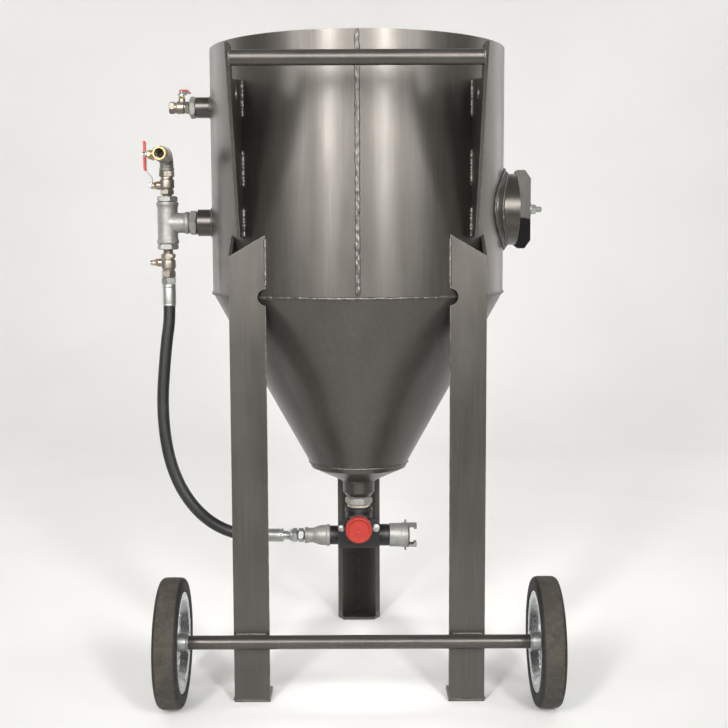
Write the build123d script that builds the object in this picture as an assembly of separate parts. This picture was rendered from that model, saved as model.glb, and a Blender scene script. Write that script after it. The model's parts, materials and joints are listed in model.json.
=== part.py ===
from build123d import *
import math
import os

# Wheeled pressure pot for abrasive blasting. Millimetres, +Z up. While it is built, the tank's
# axis is the Z axis and the wheels and push handle are on the -Y side. When the nodes are
# written, the origin moves to the middle of the rigid pieces' box, on the floor.

# Tank
TANK_R = 300.0
WALL = 5.0
RIM_Z = 1281.0
GIRTH_Z = 792.0
CONE_TIP_Z = 434.0
CONE_TIP_R = 103.0
CAP_Z = 392.0
CAP_R = 33.0

# Dished head inside the rim: crown radius is the diameter, knuckle radius a tenth of it
HEAD_RIM_Z = 1246.0
HEAD_FLANGE = 25.0
HEAD_R = TANK_R - WALL
CROWN_R = 2 * HEAD_R
KNUCKLE_R = 0.2 * HEAD_R

# Filler opening and pop-up plug
FILLER_R = 52.0
FILLER_RING_R = 66.0
FILLER_RING_Z = (1088.0, 1122.0)
SEAL_R = (50.0, 60.0)
SEAL_Z = (1086.0, 1096.0)
PLUG_R = 62.0
PLUG_CONE = 30.0
PLUG_LIFT = 40.0
PIPE_R = 16.85
PIPE_BORE_R = 13.65
PIPE_TOP_Z = 1036.0

# Legs and feet
ANGLE = 70.0
ANGLE_T = 6.0
LEG_CORNER = 244.2
LEG_TOP_CORNER_Z = 869.0
LEG_TOP_EDGE_Z = 910.0
REAR_CORNER_Y = 345.5
NOTCH_R = 16.0
FOOT_T = 6.0
REAR_FOOT_FRONT = (36.0, 272.0)

# Axle and wheels
TUBE_R = 13.45
AXLE_Y = -257.7
WHEEL_R = 125.0
WHEEL_X = 361.0
TYRE_W = 46.0
SPINDLE_R = 10.0
SPINDLE_START = 280.0
SPINDLE_END = 400.0
AXLE_TUBE_END = 330.0
AXLE_WASHER = (20.0, 2.8)
PIN_R = 2.0
HUB_HALF = 27.0
HUB_R = 17.5
RUNNING = 0.05

# Handle
ARM_X = 218.0
ARM_T = 6.0
BAR_Y = -440.0
BAR_Z = 1210.0
LIFT_EYE = (-320.0, 1166.0)
LIFT_EYE_R = 15.0

# Hand hole
HATCH_Z = 960.0
NECK_Y = 98.0
NECK_Z = 73.0
NECK_WALL = 10.0
NECK_X = (268.0, 325.0)
PAD_Y = 130.0
PAD_Z = 80.0
PAD_T = 6.0
YOKE_X = (325.0, 356.0)
YOKE_HALF = 80.0
YOKE_W = 40.0
STUD_R = 6.0
STUD_END = 381.0
WASHER_R = 14.0
WASHER_T = 2.5
WASHER_PLAY = 1.2

# Pipework
INLET_Z = 935.0
VENT_Z = 1170.0
RISER_X = -394.0
THREAD_1 = 16.8
THREAD_HALF = 10.3
THREAD_OUTLET = 21.0
BORE_HALF = 7.5
VENT_SIZE = 0.85

# Metering valve below the tank
LINE_Z = 273.0
METER_Z = 304.0
ARM_END = 65.0
ARM_R = (20.0, 23.0)
BONNET_Y = (-46.0, -34.0)
KNOB_Y = (-92.0, -62.0)
KNOB_R = 27.5
PLUNGER_R = 13.7
PLUNGER_STEM_R = 8.0
COUPLING_BORE_R = 12.5
MOVING_GAP = 0.3

# Air hose: its route from the upper hose end to the lower one, in the plane y = 0
HOSE_D = 25.0
HOSE_TOP_Z = 763.0
HOSE_LOW_X = -203.0
HOSE_ROUTE = [
    (RISER_X, 0.0, HOSE_TOP_Z),
    (RISER_X, 0.0, 733.0),
    (-401.0, 0.0, 690.0),
    (-407.5, 0.0, 628.0),
    (-412.5, 0.0, 559.0),
    (-409.0, 0.0, 487.0),
    (-396.0, 0.0, 421.0),
    (-371.0, 0.0, 363.0),
    (-334.0, 0.0, 316.0),
    (-290.5, 0.0, 286.5),
    (-245.0, 0.0, LINE_Z),
    (HOSE_LOW_X, 0.0, LINE_Z),
]

X, Y, Z = (1, 0, 0), (0, 1, 0), (0, 0, 1)
BACK_X, BACK_Y, DOWN = (-1, 0, 0), (0, -1, 0), (0, 0, -1)

nodes = {}


def rod(start, direction, radius, length):
    """A round bar that starts at a point and runs along a direction."""
    return extrude(Plane(origin=start, z_dir=direction) * Circle(radius), length)


def hexagon(start, direction, flats, length):
    """A hexagonal bar, measured across its flats."""
    outline = RegularPolygon(flats / 2, 6, major_radius=False)
    return extrude(Plane(origin=start, z_dir=direction) * outline, length)


def turned(profile, start=(0, 0, 0), direction=Z):
    """A lathe part from (radius, height) points about a line through start."""
    face = make_face(Plane.XZ * Polyline(*profile, close=True))
    return Plane(origin=start, z_dir=direction) * revolve(face, Axis.Z)


def block(low, high):
    """A box between two opposite corners."""
    size = [b - a for a, b in zip(low, high)]
    middle = [(a + b) / 2 for a, b in zip(low, high)]
    return Pos(*middle) * Box(*size)


def plate_yz(points, x_low, thickness):
    """A flat plate with its outline in Y and Z."""
    outline = make_face(Polyline(*[(x_low, y, z) for y, z in points], close=True))
    return extrude(outline, thickness, dir=X)


def plate_xz(points, y_low, thickness):
    """A flat plate with its outline in X and Z."""
    outline = make_face(Polyline(*[(x, y_low, z) for x, z in points], close=True))
    return extrude(outline, thickness, dir=Y)


def oval(half_y, half_z, x_low, x_high):
    """An elliptical plug along X at the hand hole."""
    plane = Plane(origin=(x_low, 0, HATCH_Z), x_dir=Y, z_dir=X)
    return extrude(plane * Ellipse(half_y, half_z), x_high - x_low)


def tank_space():
    """The solid cylinder that the shell encloses, for trimming what is welded to it."""
    return rod((0, 0, 0), Z, TANK_R, RIM_Z + 100)


def tank():
    """The open-topped shell, its cone and the cap that closes the cone round the outlet."""
    bore = rod((0, 0, GIRTH_Z), Z, TANK_R - WALL, RIM_Z - GIRTH_Z)
    shell = rod((0, 0, GIRTH_Z), Z, TANK_R, RIM_Z - GIRTH_Z) - bore
    shell -= oval(NECK_Y, NECK_Z, 200, 320)
    shell -= rod((-320, 0, INLET_Z), X, PIPE_BORE_R, 60)
    shell -= rod((-320, 0, VENT_Z), X, BORE_HALF, 60)
    nodes["tank_shell"] = shell

    slope = (TANK_R - CONE_TIP_R) / (GIRTH_Z - CONE_TIP_Z)
    cone_wall = WALL / math.cos(math.atan(slope))
    nodes["tank_cone"] = turned([
        (TANK_R, GIRTH_Z),
        (CONE_TIP_R, CONE_TIP_Z),
        (CONE_TIP_R - cone_wall, CONE_TIP_Z),
        (TANK_R - cone_wall, GIRTH_Z),
    ])
    nodes["cone_bottom_cap"] = turned([
        (CONE_TIP_R, CONE_TIP_Z),
        (CONE_TIP_R - 3, CONE_TIP_Z - 10),
        (CAP_R, CAP_Z),
        (THREAD_OUTLET, CAP_Z),
        (THREAD_OUTLET, CAP_Z + 5),
        (CAP_R, CAP_Z + 6),
        (CONE_TIP_R - cone_wall - 3, CONE_TIP_Z - 7),
        (CONE_TIP_R - cone_wall, CONE_TIP_Z),
    ])


def head_profile(inset):
    """Points and arcs of one surface of the dished head, from its rim to the filler ring."""
    knuckle_r = KNUCKLE_R - inset
    crown_r = CROWN_R - inset
    centre_r = HEAD_R - KNUCKLE_R
    flange_z = HEAD_RIM_Z - HEAD_FLANGE
    crown_z = flange_z + math.sqrt((CROWN_R - KNUCKLE_R) ** 2 - centre_r**2)
    tangent = math.atan2(crown_z - flange_z, centre_r)
    middle = tangent / 2
    knuckle = [
        (centre_r + knuckle_r * math.cos(a), 0, flange_z - knuckle_r * math.sin(a))
        for a in (0.0, middle, tangent)
    ]
    low = math.asin(FILLER_RING_R / crown_r)
    high = math.pi / 2 - tangent
    crown = [
        (crown_r * math.sin(a), 0, crown_z - crown_r * math.cos(a))
        for a in (high, (high + low) / 2, low)
    ]
    return knuckle, crown


def head():
    """The dished head, the filler ring with its seal, and the pop-up plug on its air pipe."""
    under_knuckle, under_crown = head_profile(0.0)
    upper_knuckle, upper_crown = head_profile(WALL)
    rim_under = (HEAD_R, 0, HEAD_RIM_Z)
    rim_upper = (HEAD_R - WALL, 0, HEAD_RIM_Z)
    edges = [
        Line(rim_under, under_knuckle[0]),
        ThreePointArc(*under_knuckle),
        ThreePointArc(*under_crown),
        Line(under_crown[2], upper_crown[2]),
        ThreePointArc(*reversed(upper_crown)),
        ThreePointArc(*reversed(upper_knuckle)),
        Line(upper_knuckle[0], rim_upper),
        Line(rim_upper, rim_under),
    ]
    nodes["dished_head"] = revolve(make_face(edges), Axis.Z)

    low, high = FILLER_RING_Z
    nodes["filler_ring"] = turned([
        (FILLER_R, SEAL_Z[1]),
        (SEAL_R[1], SEAL_Z[1]),
        (SEAL_R[1], low),
        (FILLER_RING_R, low),
        (FILLER_RING_R, high),
        (FILLER_R, high),
    ])
    nodes["filler_seal"] = turned([
        (SEAL_R[0], SEAL_Z[0] + 3),
        (SEAL_R[0] + 3, SEAL_Z[0]),
        (SEAL_R[1], SEAL_Z[0]),
        (SEAL_R[1], SEAL_Z[1]),
        (SEAL_R[0], SEAL_Z[1]),
    ])

    bend = 40.0
    path = Line((-310, 0, INLET_Z), (-bend, 0, INLET_Z))
    path += RadiusArc((-bend, 0, INLET_Z), (0, 0, INLET_Z + bend), -bend)
    path += Line((0, 0, INLET_Z + bend), (0, 0, PIPE_TOP_Z))
    section = Plane(origin=(-310, 0, INLET_Z), z_dir=X)
    pipe = sweep(section * (Circle(PIPE_R) - Circle(PIPE_BORE_R)), path)
    nodes["internal_air_pipe"] = pipe & rod((0, 0, 800), Z, TANK_R - WALL, 400)

    tip_r = 8.0
    cone_rise_at_seal = PLUG_CONE * (PLUG_R - SEAL_R[0] - 3) / (PLUG_R - tip_r)
    base = SEAL_Z[0] - 0.5 - PLUG_LIFT - cone_rise_at_seal
    skirt_r = PIPE_R + MOVING_GAP
    nodes["popup_plug"] = turned([
        (0, base + PLUG_CONE),
        (tip_r, base + PLUG_CONE),
        (PLUG_R, base),
        (PLUG_R, base - 8),
        (skirt_r + 5, base - 8),
        (skirt_r + 5, base - 62),
        (skirt_r, base - 62),
        (skirt_r, PIPE_TOP_Z + 0.5),
        (0, PIPE_TOP_Z + 0.5),
    ])


def angle_leg():
    """A leg with its corner at the origin and flanges along +X and +Y, slanted at the top."""
    outline = [
        (0, FOOT_T),
        (ANGLE, FOOT_T),
        (ANGLE, LEG_TOP_EDGE_Z),
        (0, LEG_TOP_CORNER_Z),
    ]
    front = plate_xz(outline, 0, ANGLE_T)
    side = plate_yz(outline, 0, ANGLE_T)
    leg = front + side
    leg -= rod((ANGLE, -1, GIRTH_Z), Y, NOTCH_R, ANGLE_T + 2)
    leg -= rod((-1, ANGLE, GIRTH_Z), X, NOTCH_R, ANGLE_T + 2)
    return leg


def legs():
    """Two angle legs at the wheels and one behind, each closed by a plate at its foot."""
    places = {
        "leg_left": Pos(-LEG_CORNER, -LEG_CORNER),
        "leg_right": Pos(LEG_CORNER, -LEG_CORNER) * Rot(0, 0, 90),
        "leg_rear": Pos(0, REAR_CORNER_Y) * Rot(0, 0, 225),
    }
    for name, place in places.items():
        nodes[name] = place * angle_leg() - tank_space()
    square = block((0, 0, 0), (ANGLE, ANGLE, FOOT_T))
    edge = ANGLE / math.sqrt(2)
    front_x, front_y = REAR_FOOT_FRONT
    outline = [
        (0, REAR_CORNER_Y), (edge, REAR_CORNER_Y - edge), (front_x, front_y),
        (-front_x, front_y), (-edge, REAR_CORNER_Y - edge),
    ]
    rear = extrude(make_face(Polyline(*outline, close=True)), FOOT_T)
    nodes["foot_plates"] = [places["leg_left"] * square, places["leg_right"] * square, rear]


def axle():
    """The axle tube with a solid spindle in each end, and the washers and pins that hold the wheels."""
    tube = rod((-AXLE_TUBE_END, AXLE_Y, WHEEL_R), X, TUBE_R, 2 * AXLE_TUBE_END)
    tube -= rod((-AXLE_TUBE_END, AXLE_Y, WHEEL_R), X, SPINDLE_R, 2 * AXLE_TUBE_END)
    parts = [tube]
    retainers = []
    pin_x = SPINDLE_END - 5.5
    for side in (-1, 1):
        start = (side * SPINDLE_START, AXLE_Y, WHEEL_R)
        spindle = rod(start, (side, 0, 0), SPINDLE_R, SPINDLE_END - SPINDLE_START)
        spindle -= rod((side * pin_x, AXLE_Y, WHEEL_R - 20), Z, PIN_R, 40)
        parts.append(spindle)
        for inner in (AXLE_TUBE_END + 0.5, WHEEL_X + HUB_HALF + 0.5):
            washer_r, washer_t = AXLE_WASHER
            section = [(SPINDLE_R, 0), (washer_r, 0), (washer_r, washer_t), (SPINDLE_R, washer_t)]
            retainers.append(turned(section, (side * inner, AXLE_Y, WHEEL_R), (side, 0, 0)))
        pin = rod((side * pin_x, AXLE_Y, WHEEL_R - 14), Z, PIN_R, 26)
        eye = Pos(side * pin_x, AXLE_Y, WHEEL_R + 17) * Rot(90, 0, 0) * Torus(4, 1.5)
        retainers.append(pin + eye)
    nodes["axle"] = parts
    nodes["axle_retainers"] = retainers


def wheel(name, side):
    """A solid tyre and its centre: two pressed discs, six bolts and a hub tube."""
    centre = (side * WHEEL_X, AXLE_Y, WHEEL_R)
    outward = (side, 0, 0)
    half = TYRE_W / 2
    seat = 19.0
    flange_r = 97.0
    tyre_bore_r = 87.0
    nodes[f"tyre_{name}"] = turned(
        [
            (tyre_bore_r, -seat), (flange_r + 0.5, -seat), (flange_r + 3, -half), (118, -half),
            (123, -half + 3), (WHEEL_R, -half + 8), (WHEEL_R, half - 8), (123, half - 3),
            (118, half), (flange_r + 3, half), (flange_r + 0.5, seat), (tyre_bore_r, seat),
        ],
        centre,
        outward,
    )
    bolt_circle = 58.0
    bolt_r = 4.0
    web = 2.5
    disc_line = [(HUB_R, web), (70, web), (84, seat + web), (flange_r, seat + web)]
    back_line = [(flange_r, seat), (85.5, seat), (71.5, 0), (HUB_R, 0)]
    pieces = []
    for face in (-1, 1):
        profile = [(r, face * x) for r, x in disc_line + back_line]
        disc = turned(profile, centre, outward)
        for i in range(6):
            turn = math.radians(60 * i)
            hole = (
                centre[0] - 10,
                centre[1] + bolt_circle * math.cos(turn),
                centre[2] + bolt_circle * math.sin(turn),
            )
            disc -= rod(hole, X, bolt_r, 20)
        pieces.append(disc)
    for i in range(6):
        turn = math.radians(60 * i)
        at = (
            centre[0],
            centre[1] + bolt_circle * math.cos(turn),
            centre[2] + bolt_circle * math.sin(turn),
        )
        shank = rod((at[0] - web, at[1], at[2]), X, bolt_r, 2 * web)
        head_in = hexagon((at[0] - web - 5, at[1], at[2]), X, 13, 5)
        head_out = hexagon((at[0] + web, at[1], at[2]), X, 13, 5)
        pieces.append(shank + head_in + head_out)
    bore_r = SPINDLE_R + RUNNING
    hub = turned(
        [(bore_r, -HUB_HALF), (HUB_R, -HUB_HALF), (HUB_R, HUB_HALF), (bore_r, HUB_HALF)],
        centre,
        outward,
    )
    nodes[f"wheel_centre_{name}"] = pieces + [hub]


def handle():
    """The push bar and the two arms that carry it, each with a lifting eye."""
    bar = rod((-ARM_X, BAR_Y, BAR_Z), X, TUBE_R, 2 * ARM_X)
    nodes["handle_bar"] = bar - rod((-ARM_X, BAR_Y, BAR_Z), X, TUBE_R - 2.6, 2 * ARM_X)
    outline = [(-180, 905), (-275, 905), (-452, 1235), (-392, 1235), (-380, 1182), (-180, 1204)]
    eye_y, eye_z = LIFT_EYE
    for name, x_low in (("handle_arm_left", -ARM_X - ARM_T), ("handle_arm_right", ARM_X)):
        arm = plate_yz(outline, x_low, ARM_T) - tank_space()
        arm -= rod((x_low - 1, eye_y, eye_z), X, LIFT_EYE_R, ARM_T + 2)
        nodes[name] = arm


def hatch():
    """The hand hole: pad, neck, gasket and cover, held by a yoke, washer and nut."""
    inner_y = NECK_Y - NECK_WALL
    inner_z = NECK_Z - NECK_WALL
    nodes["hatch_neck"] = oval(NECK_Y, NECK_Z, *NECK_X) - oval(inner_y, inner_z, *NECK_X)
    skin = rod((0, 0, HATCH_Z - 100), Z, TANK_R + PAD_T, 200) - tank_space()
    nodes["hatch_pad"] = (skin & oval(PAD_Y, PAD_Z, 200, 320)) - oval(NECK_Y, NECK_Z, 200, 330)
    gasket_x = NECK_X[0] - 6
    gasket = oval(NECK_Y - 2, NECK_Z - 2, gasket_x, NECK_X[0])
    nodes["hatch_gasket"] = gasket - oval(inner_y, inner_z, gasket_x, NECK_X[0])
    cover = oval(NECK_Y - 1, NECK_Z - 1, gasket_x - 12, gasket_x)
    cover += rod((gasket_x, 0, HATCH_Z), X, 16, 8)
    nodes["hatch_cover"] = cover + rod((gasket_x, 0, HATCH_Z), X, STUD_R, STUD_END - gasket_x)

    x0, x1 = YOKE_X
    low, high = HATCH_Z - YOKE_HALF, HATCH_Z + YOKE_HALF
    outline = [
        (x0, low + 6), (x0 + 8, low), (x1 - 12, low), (x1, low + 17),
        (x1, high - 17), (x1 - 12, high), (x0 + 3, high), (x0, high - 6),
    ]
    yoke = plate_xz(outline, -YOKE_W / 2, YOKE_W)
    nodes["hatch_yoke"] = yoke - rod((x0 - 1, 0, HATCH_Z), X, STUD_R + 1, 40)
    bore = STUD_R + WASHER_PLAY
    washer = [(bore, 0), (WASHER_R, 0), (WASHER_R, WASHER_T), (bore, WASHER_T)]
    nodes["hatch_washer"] = turned(washer, (x1, 0, HATCH_Z), X)
    nut_x = x1 + WASHER_T
    nut = hexagon((nut_x, 0, HATCH_Z), X, 19, 10.5)
    nodes["hatch_nut"] = nut - rod((nut_x - 0.5, 0, HATCH_Z), X, STUD_R + RUNNING, 12)


def side_sockets():
    """The two threaded sockets on the left of the shell: air inlet and vent."""
    inlet = rod((-330, 0, INLET_Z), X, 27.5, 60) - tank_space()
    nodes["air_inlet_socket"] = inlet - rod((-331, 0, INLET_Z), X, THREAD_1, 60)
    vent_socket = rod((-330, 0, VENT_Z), X, 21, 60) - tank_space()
    nodes["vent_socket"] = vent_socket - rod((-331, 0, VENT_Z), X, THREAD_HALF, 60)


def inlet_pipework():
    """The nipple, tee, reducing bushings and elbow that join the valves to the inlet."""
    bore = THREAD_1 - 3.5
    nipple = rod((-365, 0, INLET_Z), X, THREAD_1, 50) + hexagon((-347, 0, INLET_Z), X, 46, 15)
    nodes["inlet_nipple"] = nipple - rod((-366, 0, INLET_Z), X, bore, 60)

    body_r, bead_r = 21.3, 22.9
    low, high, branch = INLET_Z - 43, INLET_Z + 43, -349.0
    tee = rod((RISER_X, 0, low), Z, body_r, high - low)
    tee += rod((RISER_X, 0, INLET_Z), X, body_r, branch - RISER_X)
    tee += rod((RISER_X, 0, low), Z, bead_r, 8)
    tee += rod((RISER_X, 0, high - 8), Z, bead_r, 8)
    tee += rod((branch - 8, 0, INLET_Z), X, bead_r, 8)
    tee -= rod((RISER_X, 0, low - 1), Z, bore, high - low + 2)
    tee -= rod((RISER_X, 0, INLET_Z), X, bore, branch - RISER_X + 1)
    tee -= rod((RISER_X, 0, low), Z, THREAD_1, 16)
    tee -= rod((RISER_X, 0, high), DOWN, THREAD_1, 16)
    tee -= rod((branch, 0, INLET_Z), BACK_X, THREAD_1, 16)
    nodes["pipe_tee"] = tee

    bushings = []
    for face_z, outward in ((high, Z), (low, DOWN)):
        start = (RISER_X, 0, face_z)
        bushing = hexagon(start, outward, 38, 12) + rod(start, tuple(-c for c in outward), THREAD_1, 16)
        hole = (RISER_X, 0, face_z - 20 * outward[2])
        bushings.append(bushing - rod(hole, outward, THREAD_HALF, 40))
    start = (-331, 0, VENT_Z)
    bushing = hexagon(start, BACK_X, 39, 12) + rod(start, X, THREAD_HALF, 14)
    bushing -= rod((-343, 0, VENT_Z), X, VENT_SIZE * THREAD_HALF, 12)
    bushings.append(bushing - rod((-300, 0, VENT_Z), BACK_X, 6.5, 50))
    nodes["reducing_bushings"] = bushings

    elbow_z = 1072.0
    face_y = -44.0
    elbow = rod((RISER_X, 0, 1042), Z, 14, elbow_z - 1042) + Pos(RISER_X, 0, elbow_z) * Sphere(14.6)
    elbow += rod((RISER_X, 0, elbow_z), BACK_Y, 14.6, -face_y)
    elbow += rod((RISER_X, face_y + 12, elbow_z), BACK_Y, 17, 12)
    elbow += rod((RISER_X, 0, 1028), Z, THREAD_HALF, 16)
    elbow -= rod((RISER_X, 0, 1020), Z, BORE_HALF, elbow_z - 1020)
    elbow -= Pos(RISER_X, 0, elbow_z) * Sphere(BORE_HALF)
    elbow -= rod((RISER_X, 0, elbow_z), BACK_Y, BORE_HALF, 60)
    elbow -= rod((RISER_X, face_y, elbow_z), Y, THREAD_HALF, 16)
    nodes["pipe_elbow"] = elbow


def strip(points, thickness, width):
    """A bent flat bar: its middle line in local X and Z, its width along local Y."""
    half = thickness / 2
    left, right = [], []
    for i, (x, z) in enumerate(points):
        before = points[max(i - 1, 0)]
        after = points[min(i + 1, len(points) - 1)]
        dx, dz = after[0] - before[0], after[1] - before[1]
        reach = math.hypot(dx, dz)
        left.append((x - half * dz / reach, z + half * dx / reach))
        right.append((x + half * dz / reach, z - half * dx / reach))
    return plate_xz(left + right[::-1], -width / 2, width)


def ball_valve(name, stem_at, stem_dir, flow_dir, lever_turn, size=1.0, crank=14.0, grip=14.5):
    """A ball valve with a male and a female end. Its stem is at the origin of its own plane,
    flow along local Z from the male end to the female one, stem and lever on local +X."""
    body = hexagon((0, 0, -16), Z, 26, 7) + rod((0, 0, -9), Z, 12.2, 4)
    body += rod((0, 0, -7), Z, 15, 21) + rod((0, 0, 12), Z, 12.6, 6)
    body += hexagon((0, 0, 17), Z, 27, 13)
    body += rod((0, 0, -34), Z, THREAD_HALF, 20)
    body += rod((0, 0, 0), X, 8, 22) + hexagon((22, 0, 0), X, 14, 5)
    body -= rod((0, 0, -40), Z, BORE_HALF, 80)
    body -= rod((0, 0, 14), Z, THREAD_HALF, 20)
    body -= Sphere(11 + MOVING_GAP)
    body -= rod((0, 0, 0), X, 4 + RUNNING, 40)

    ball = Sphere(11) + rod((0, 0, 0), X, 4, 38)
    ball -= rod((0, 0, -20), Z, 7, 40)
    nut = hexagon((32, 0, 0), X, 11, 4) - rod((31, 0, 0), X, 4, 8)

    out = 30.75
    bent = out + crank
    bar = strip([(out, -8), (out, 16), (bent, 32), (bent, 88)], 2.5, grip - 2.5)
    lever = bar - rod((20, 0, 0), X, 4, 20)
    sleeve = strip([(out + crank * 0.86, 30), (bent, 33), (bent, 91)], 5.5, grip) - bar

    place = Plane(origin=stem_at, x_dir=stem_dir, z_dir=flow_dir)
    turn = Rot(lever_turn, 0, 0)
    nodes[f"valve_body_{name}"] = place * scale(body, size)
    nodes[f"ball_stem_{name}"] = [place * scale(turn * piece, size) for piece in (ball, nut)]
    nodes[f"lever_{name}"] = [place * scale(turn * piece, size) for piece in (lever, sleeve)]


def valves():
    """Four ball valves: on the riser, at the air inlet, above the hose and at the vent."""
    ball_valve("riser", (RISER_X, 0, 1012), BACK_X, Z, 0)
    ball_valve("inlet", (RISER_X, -66, 1072), BACK_X, BACK_Y, 180, crank=0.0)
    ball_valve("hose", (RISER_X, 0, 853), BACK_X, DOWN, -90, crank=0.0)
    ball_valve("vent", (-360, 0, VENT_Z), Z, BACK_X, -90, size=VENT_SIZE, grip=21.0)


def outlet():
    """The outlet socket and nipple, and the metering valve with its plunger and knob."""
    nodes["outlet_socket"] = turned([
        (THREAD_OUTLET, CAP_Z), (CAP_R, CAP_Z), (CAP_R, 368), (26, 359), (THREAD_OUTLET, 359),
    ])
    thread_end = 320.0
    nipple = rod((0, 0, thread_end), Z, THREAD_OUTLET, 60) + hexagon((0, 0, 341), Z, 50, 15)
    nodes["outlet_nipple"] = nipple - rod((0, 0, 310), Z, 16, 80)

    flange_y = BONNET_Y[1]
    side_low, side_high = 256.0, 316.0
    base_z = LINE_Z - 24
    body = turned([(0, base_z), (18, base_z), (28, base_z + 10), (28, 334), (0, 334)])
    body += rod((-ARM_END + 22, 0, LINE_Z), X, ARM_R[1], ARM_END * 2 - 22)
    body += rod((-ARM_END + 3, 0, LINE_Z), X, ARM_R[0], 24)
    body += rod((0, flange_y, METER_Z), Y, 22, 62)
    body += block((-43, flange_y, side_low), (43, flange_y + 8, side_high))
    body += rod((-82, 0, LINE_Z), X, THREAD_1 - 1.5, 30)
    body -= rod((0, 0, thread_end), Z, THREAD_OUTLET, 20)
    body -= rod((0, 0, LINE_Z - 5), Z, 16, 60)
    body -= rod((-90, 0, LINE_Z), X, 11, 180)
    body -= rod((ARM_END, 0, LINE_Z), BACK_X, THREAD_1 - 1.5, 18)
    body -= rod((0, flange_y - 1, METER_Z), Y, PLUNGER_R + MOVING_GAP, 56)
    bonnet = block((-43, BONNET_Y[0], side_low), (43, BONNET_Y[1], side_high))
    bonnet += rod((0, BONNET_Y[0], METER_Z), BACK_Y, 14, BONNET_Y[0] - KNOB_Y[1] - 0.5)
    bonnet -= rod((0, -70, METER_Z), Y, PLUNGER_STEM_R + MOVING_GAP, 60)
    bolts = []
    for x in (-36, 36):
        at = (x, BONNET_Y[0], 299)
        body -= rod(at, Y, 4, 20)
        bonnet -= rod(at, Y, 4, 20)
        bolts.append(rod(at, Y, 4, 20) + hexagon(at, BACK_Y, 13, 7))
    nodes["metering_body"] = body
    nodes["metering_bonnet"] = bonnet
    nodes["bonnet_bolts"] = bolts

    stem = rod((0, -84, METER_Z), Y, PLUNGER_STEM_R, 60)
    nodes["metering_plunger"] = stem + rod((0, -32, METER_Z), Y, PLUNGER_R, 32)
    front, back = KNOB_Y
    knob = turned(
        [
            (0, 4), (PLUNGER_STEM_R + MOVING_GAP, 4), (PLUNGER_STEM_R + MOVING_GAP, back - front),
            (18, back - front), (KNOB_R - 2, back - front - 6), (KNOB_R, back - front - 10),
            (KNOB_R, 2), (KNOB_R - 1.5, 0), (KNOB_R - 4, 0), (KNOB_R - 5.5, 2), (0, 2),
        ],
        (0, front, METER_Z),
        Y,
    )
    for i in range(12):
        turn = math.radians(30 * i)
        groove_r = KNOB_R + 2.2
        start = (groove_r * math.cos(turn), front + 6, METER_Z + groove_r * math.sin(turn))
        knob -= rod(start, Y, 3, back - front)
    nodes["metering_knob"] = knob


def air_side():
    """The reducer, nipple and hose ends that bring air to the metering valve."""
    thread = THREAD_1 - 1.5
    reducer = turned(
        [
            (thread, 0), (23, 0), (23, 6), (21.5, 7), (20.5, 22), (15.5, 34), (15.5, 46),
            (17, 47), (17, 53), (THREAD_HALF, 53), (THREAD_HALF, 22), (thread, 22),
        ],
        (-ARM_END + 3, 0, LINE_Z),
        BACK_X,
    )
    nodes["air_reducer"] = reducer
    hex_x = -ARM_END + 3 - 53 - 2
    nipple = rod((hex_x + 16, 0, LINE_Z), BACK_X, THREAD_HALF, 42)
    nipple += hexagon((hex_x, 0, LINE_Z), BACK_X, 26, 12)
    nodes["hose_nipple"] = nipple - rod((hex_x + 20, 0, LINE_Z), BACK_X, 6.5, 60)

    nut_x = hex_x - 14
    ferrule_x = HOSE_LOW_X + 43
    swivel = hexagon((nut_x, 0, LINE_Z), BACK_X, 27, 11) + rod((nut_x - 11, 0, LINE_Z), BACK_X, 12, 6)
    swivel += rod((nut_x - 16, 0, LINE_Z), BACK_X, 9, nut_x - 16 - ferrule_x)
    ferrule = [(0, 0), (13, 0), (14, 2), (14, 41), (13, 43), (0, 43)]
    swivel += turned(ferrule, (ferrule_x, 0, LINE_Z), BACK_X)
    swivel -= rod((nut_x, 0, LINE_Z), BACK_X, THREAD_HALF, 12)
    nodes["lower_hose_end"] = swivel - rod((nut_x, 0, LINE_Z), BACK_X, 6, nut_x - HOSE_LOW_X)

    upper = rod((RISER_X, 0, 838), DOWN, THREAD_HALF, 18) + hexagon((RISER_X, 0, 822), DOWN, 27, 14)
    upper += turned([(0, 0), (13, 0), (14, 2), (14, 43), (13, 45), (0, 45)], (RISER_X, 0, 808), DOWN)
    nodes["upper_hose_end"] = upper - rod((RISER_X, 0, 839), DOWN, 6, 839 - HOSE_TOP_Z)


def hose():
    """The air hose, swept along its route with the corners rounded as far as the runs allow."""
    points = [Vector(*p) for p in HOSE_ROUTE]
    runs = [b - a for a, b in zip(points, points[1:])]
    radii = []
    for before, after in zip(runs, runs[1:]):
        half_turn = math.radians(before.get_angle(after)) / 2
        radii.append(0.45 * min(before.length, after.length) / math.tan(half_turn))
    print("hose radii", [round(r) for r in radii])
    path = FilletPolyline(*points, radius=radii)
    section = Plane(origin=points[0], z_dir=runs[0]) * Circle(HOSE_D / 2)
    tube = sweep(section, path)
    expected = math.pi * (HOSE_D / 2) ** 2 * path.length
    print("hose length", round(path.length, 1), "volume ratio", round(tube.volume / expected, 5))
    nodes["air_hose"] = tube


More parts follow.
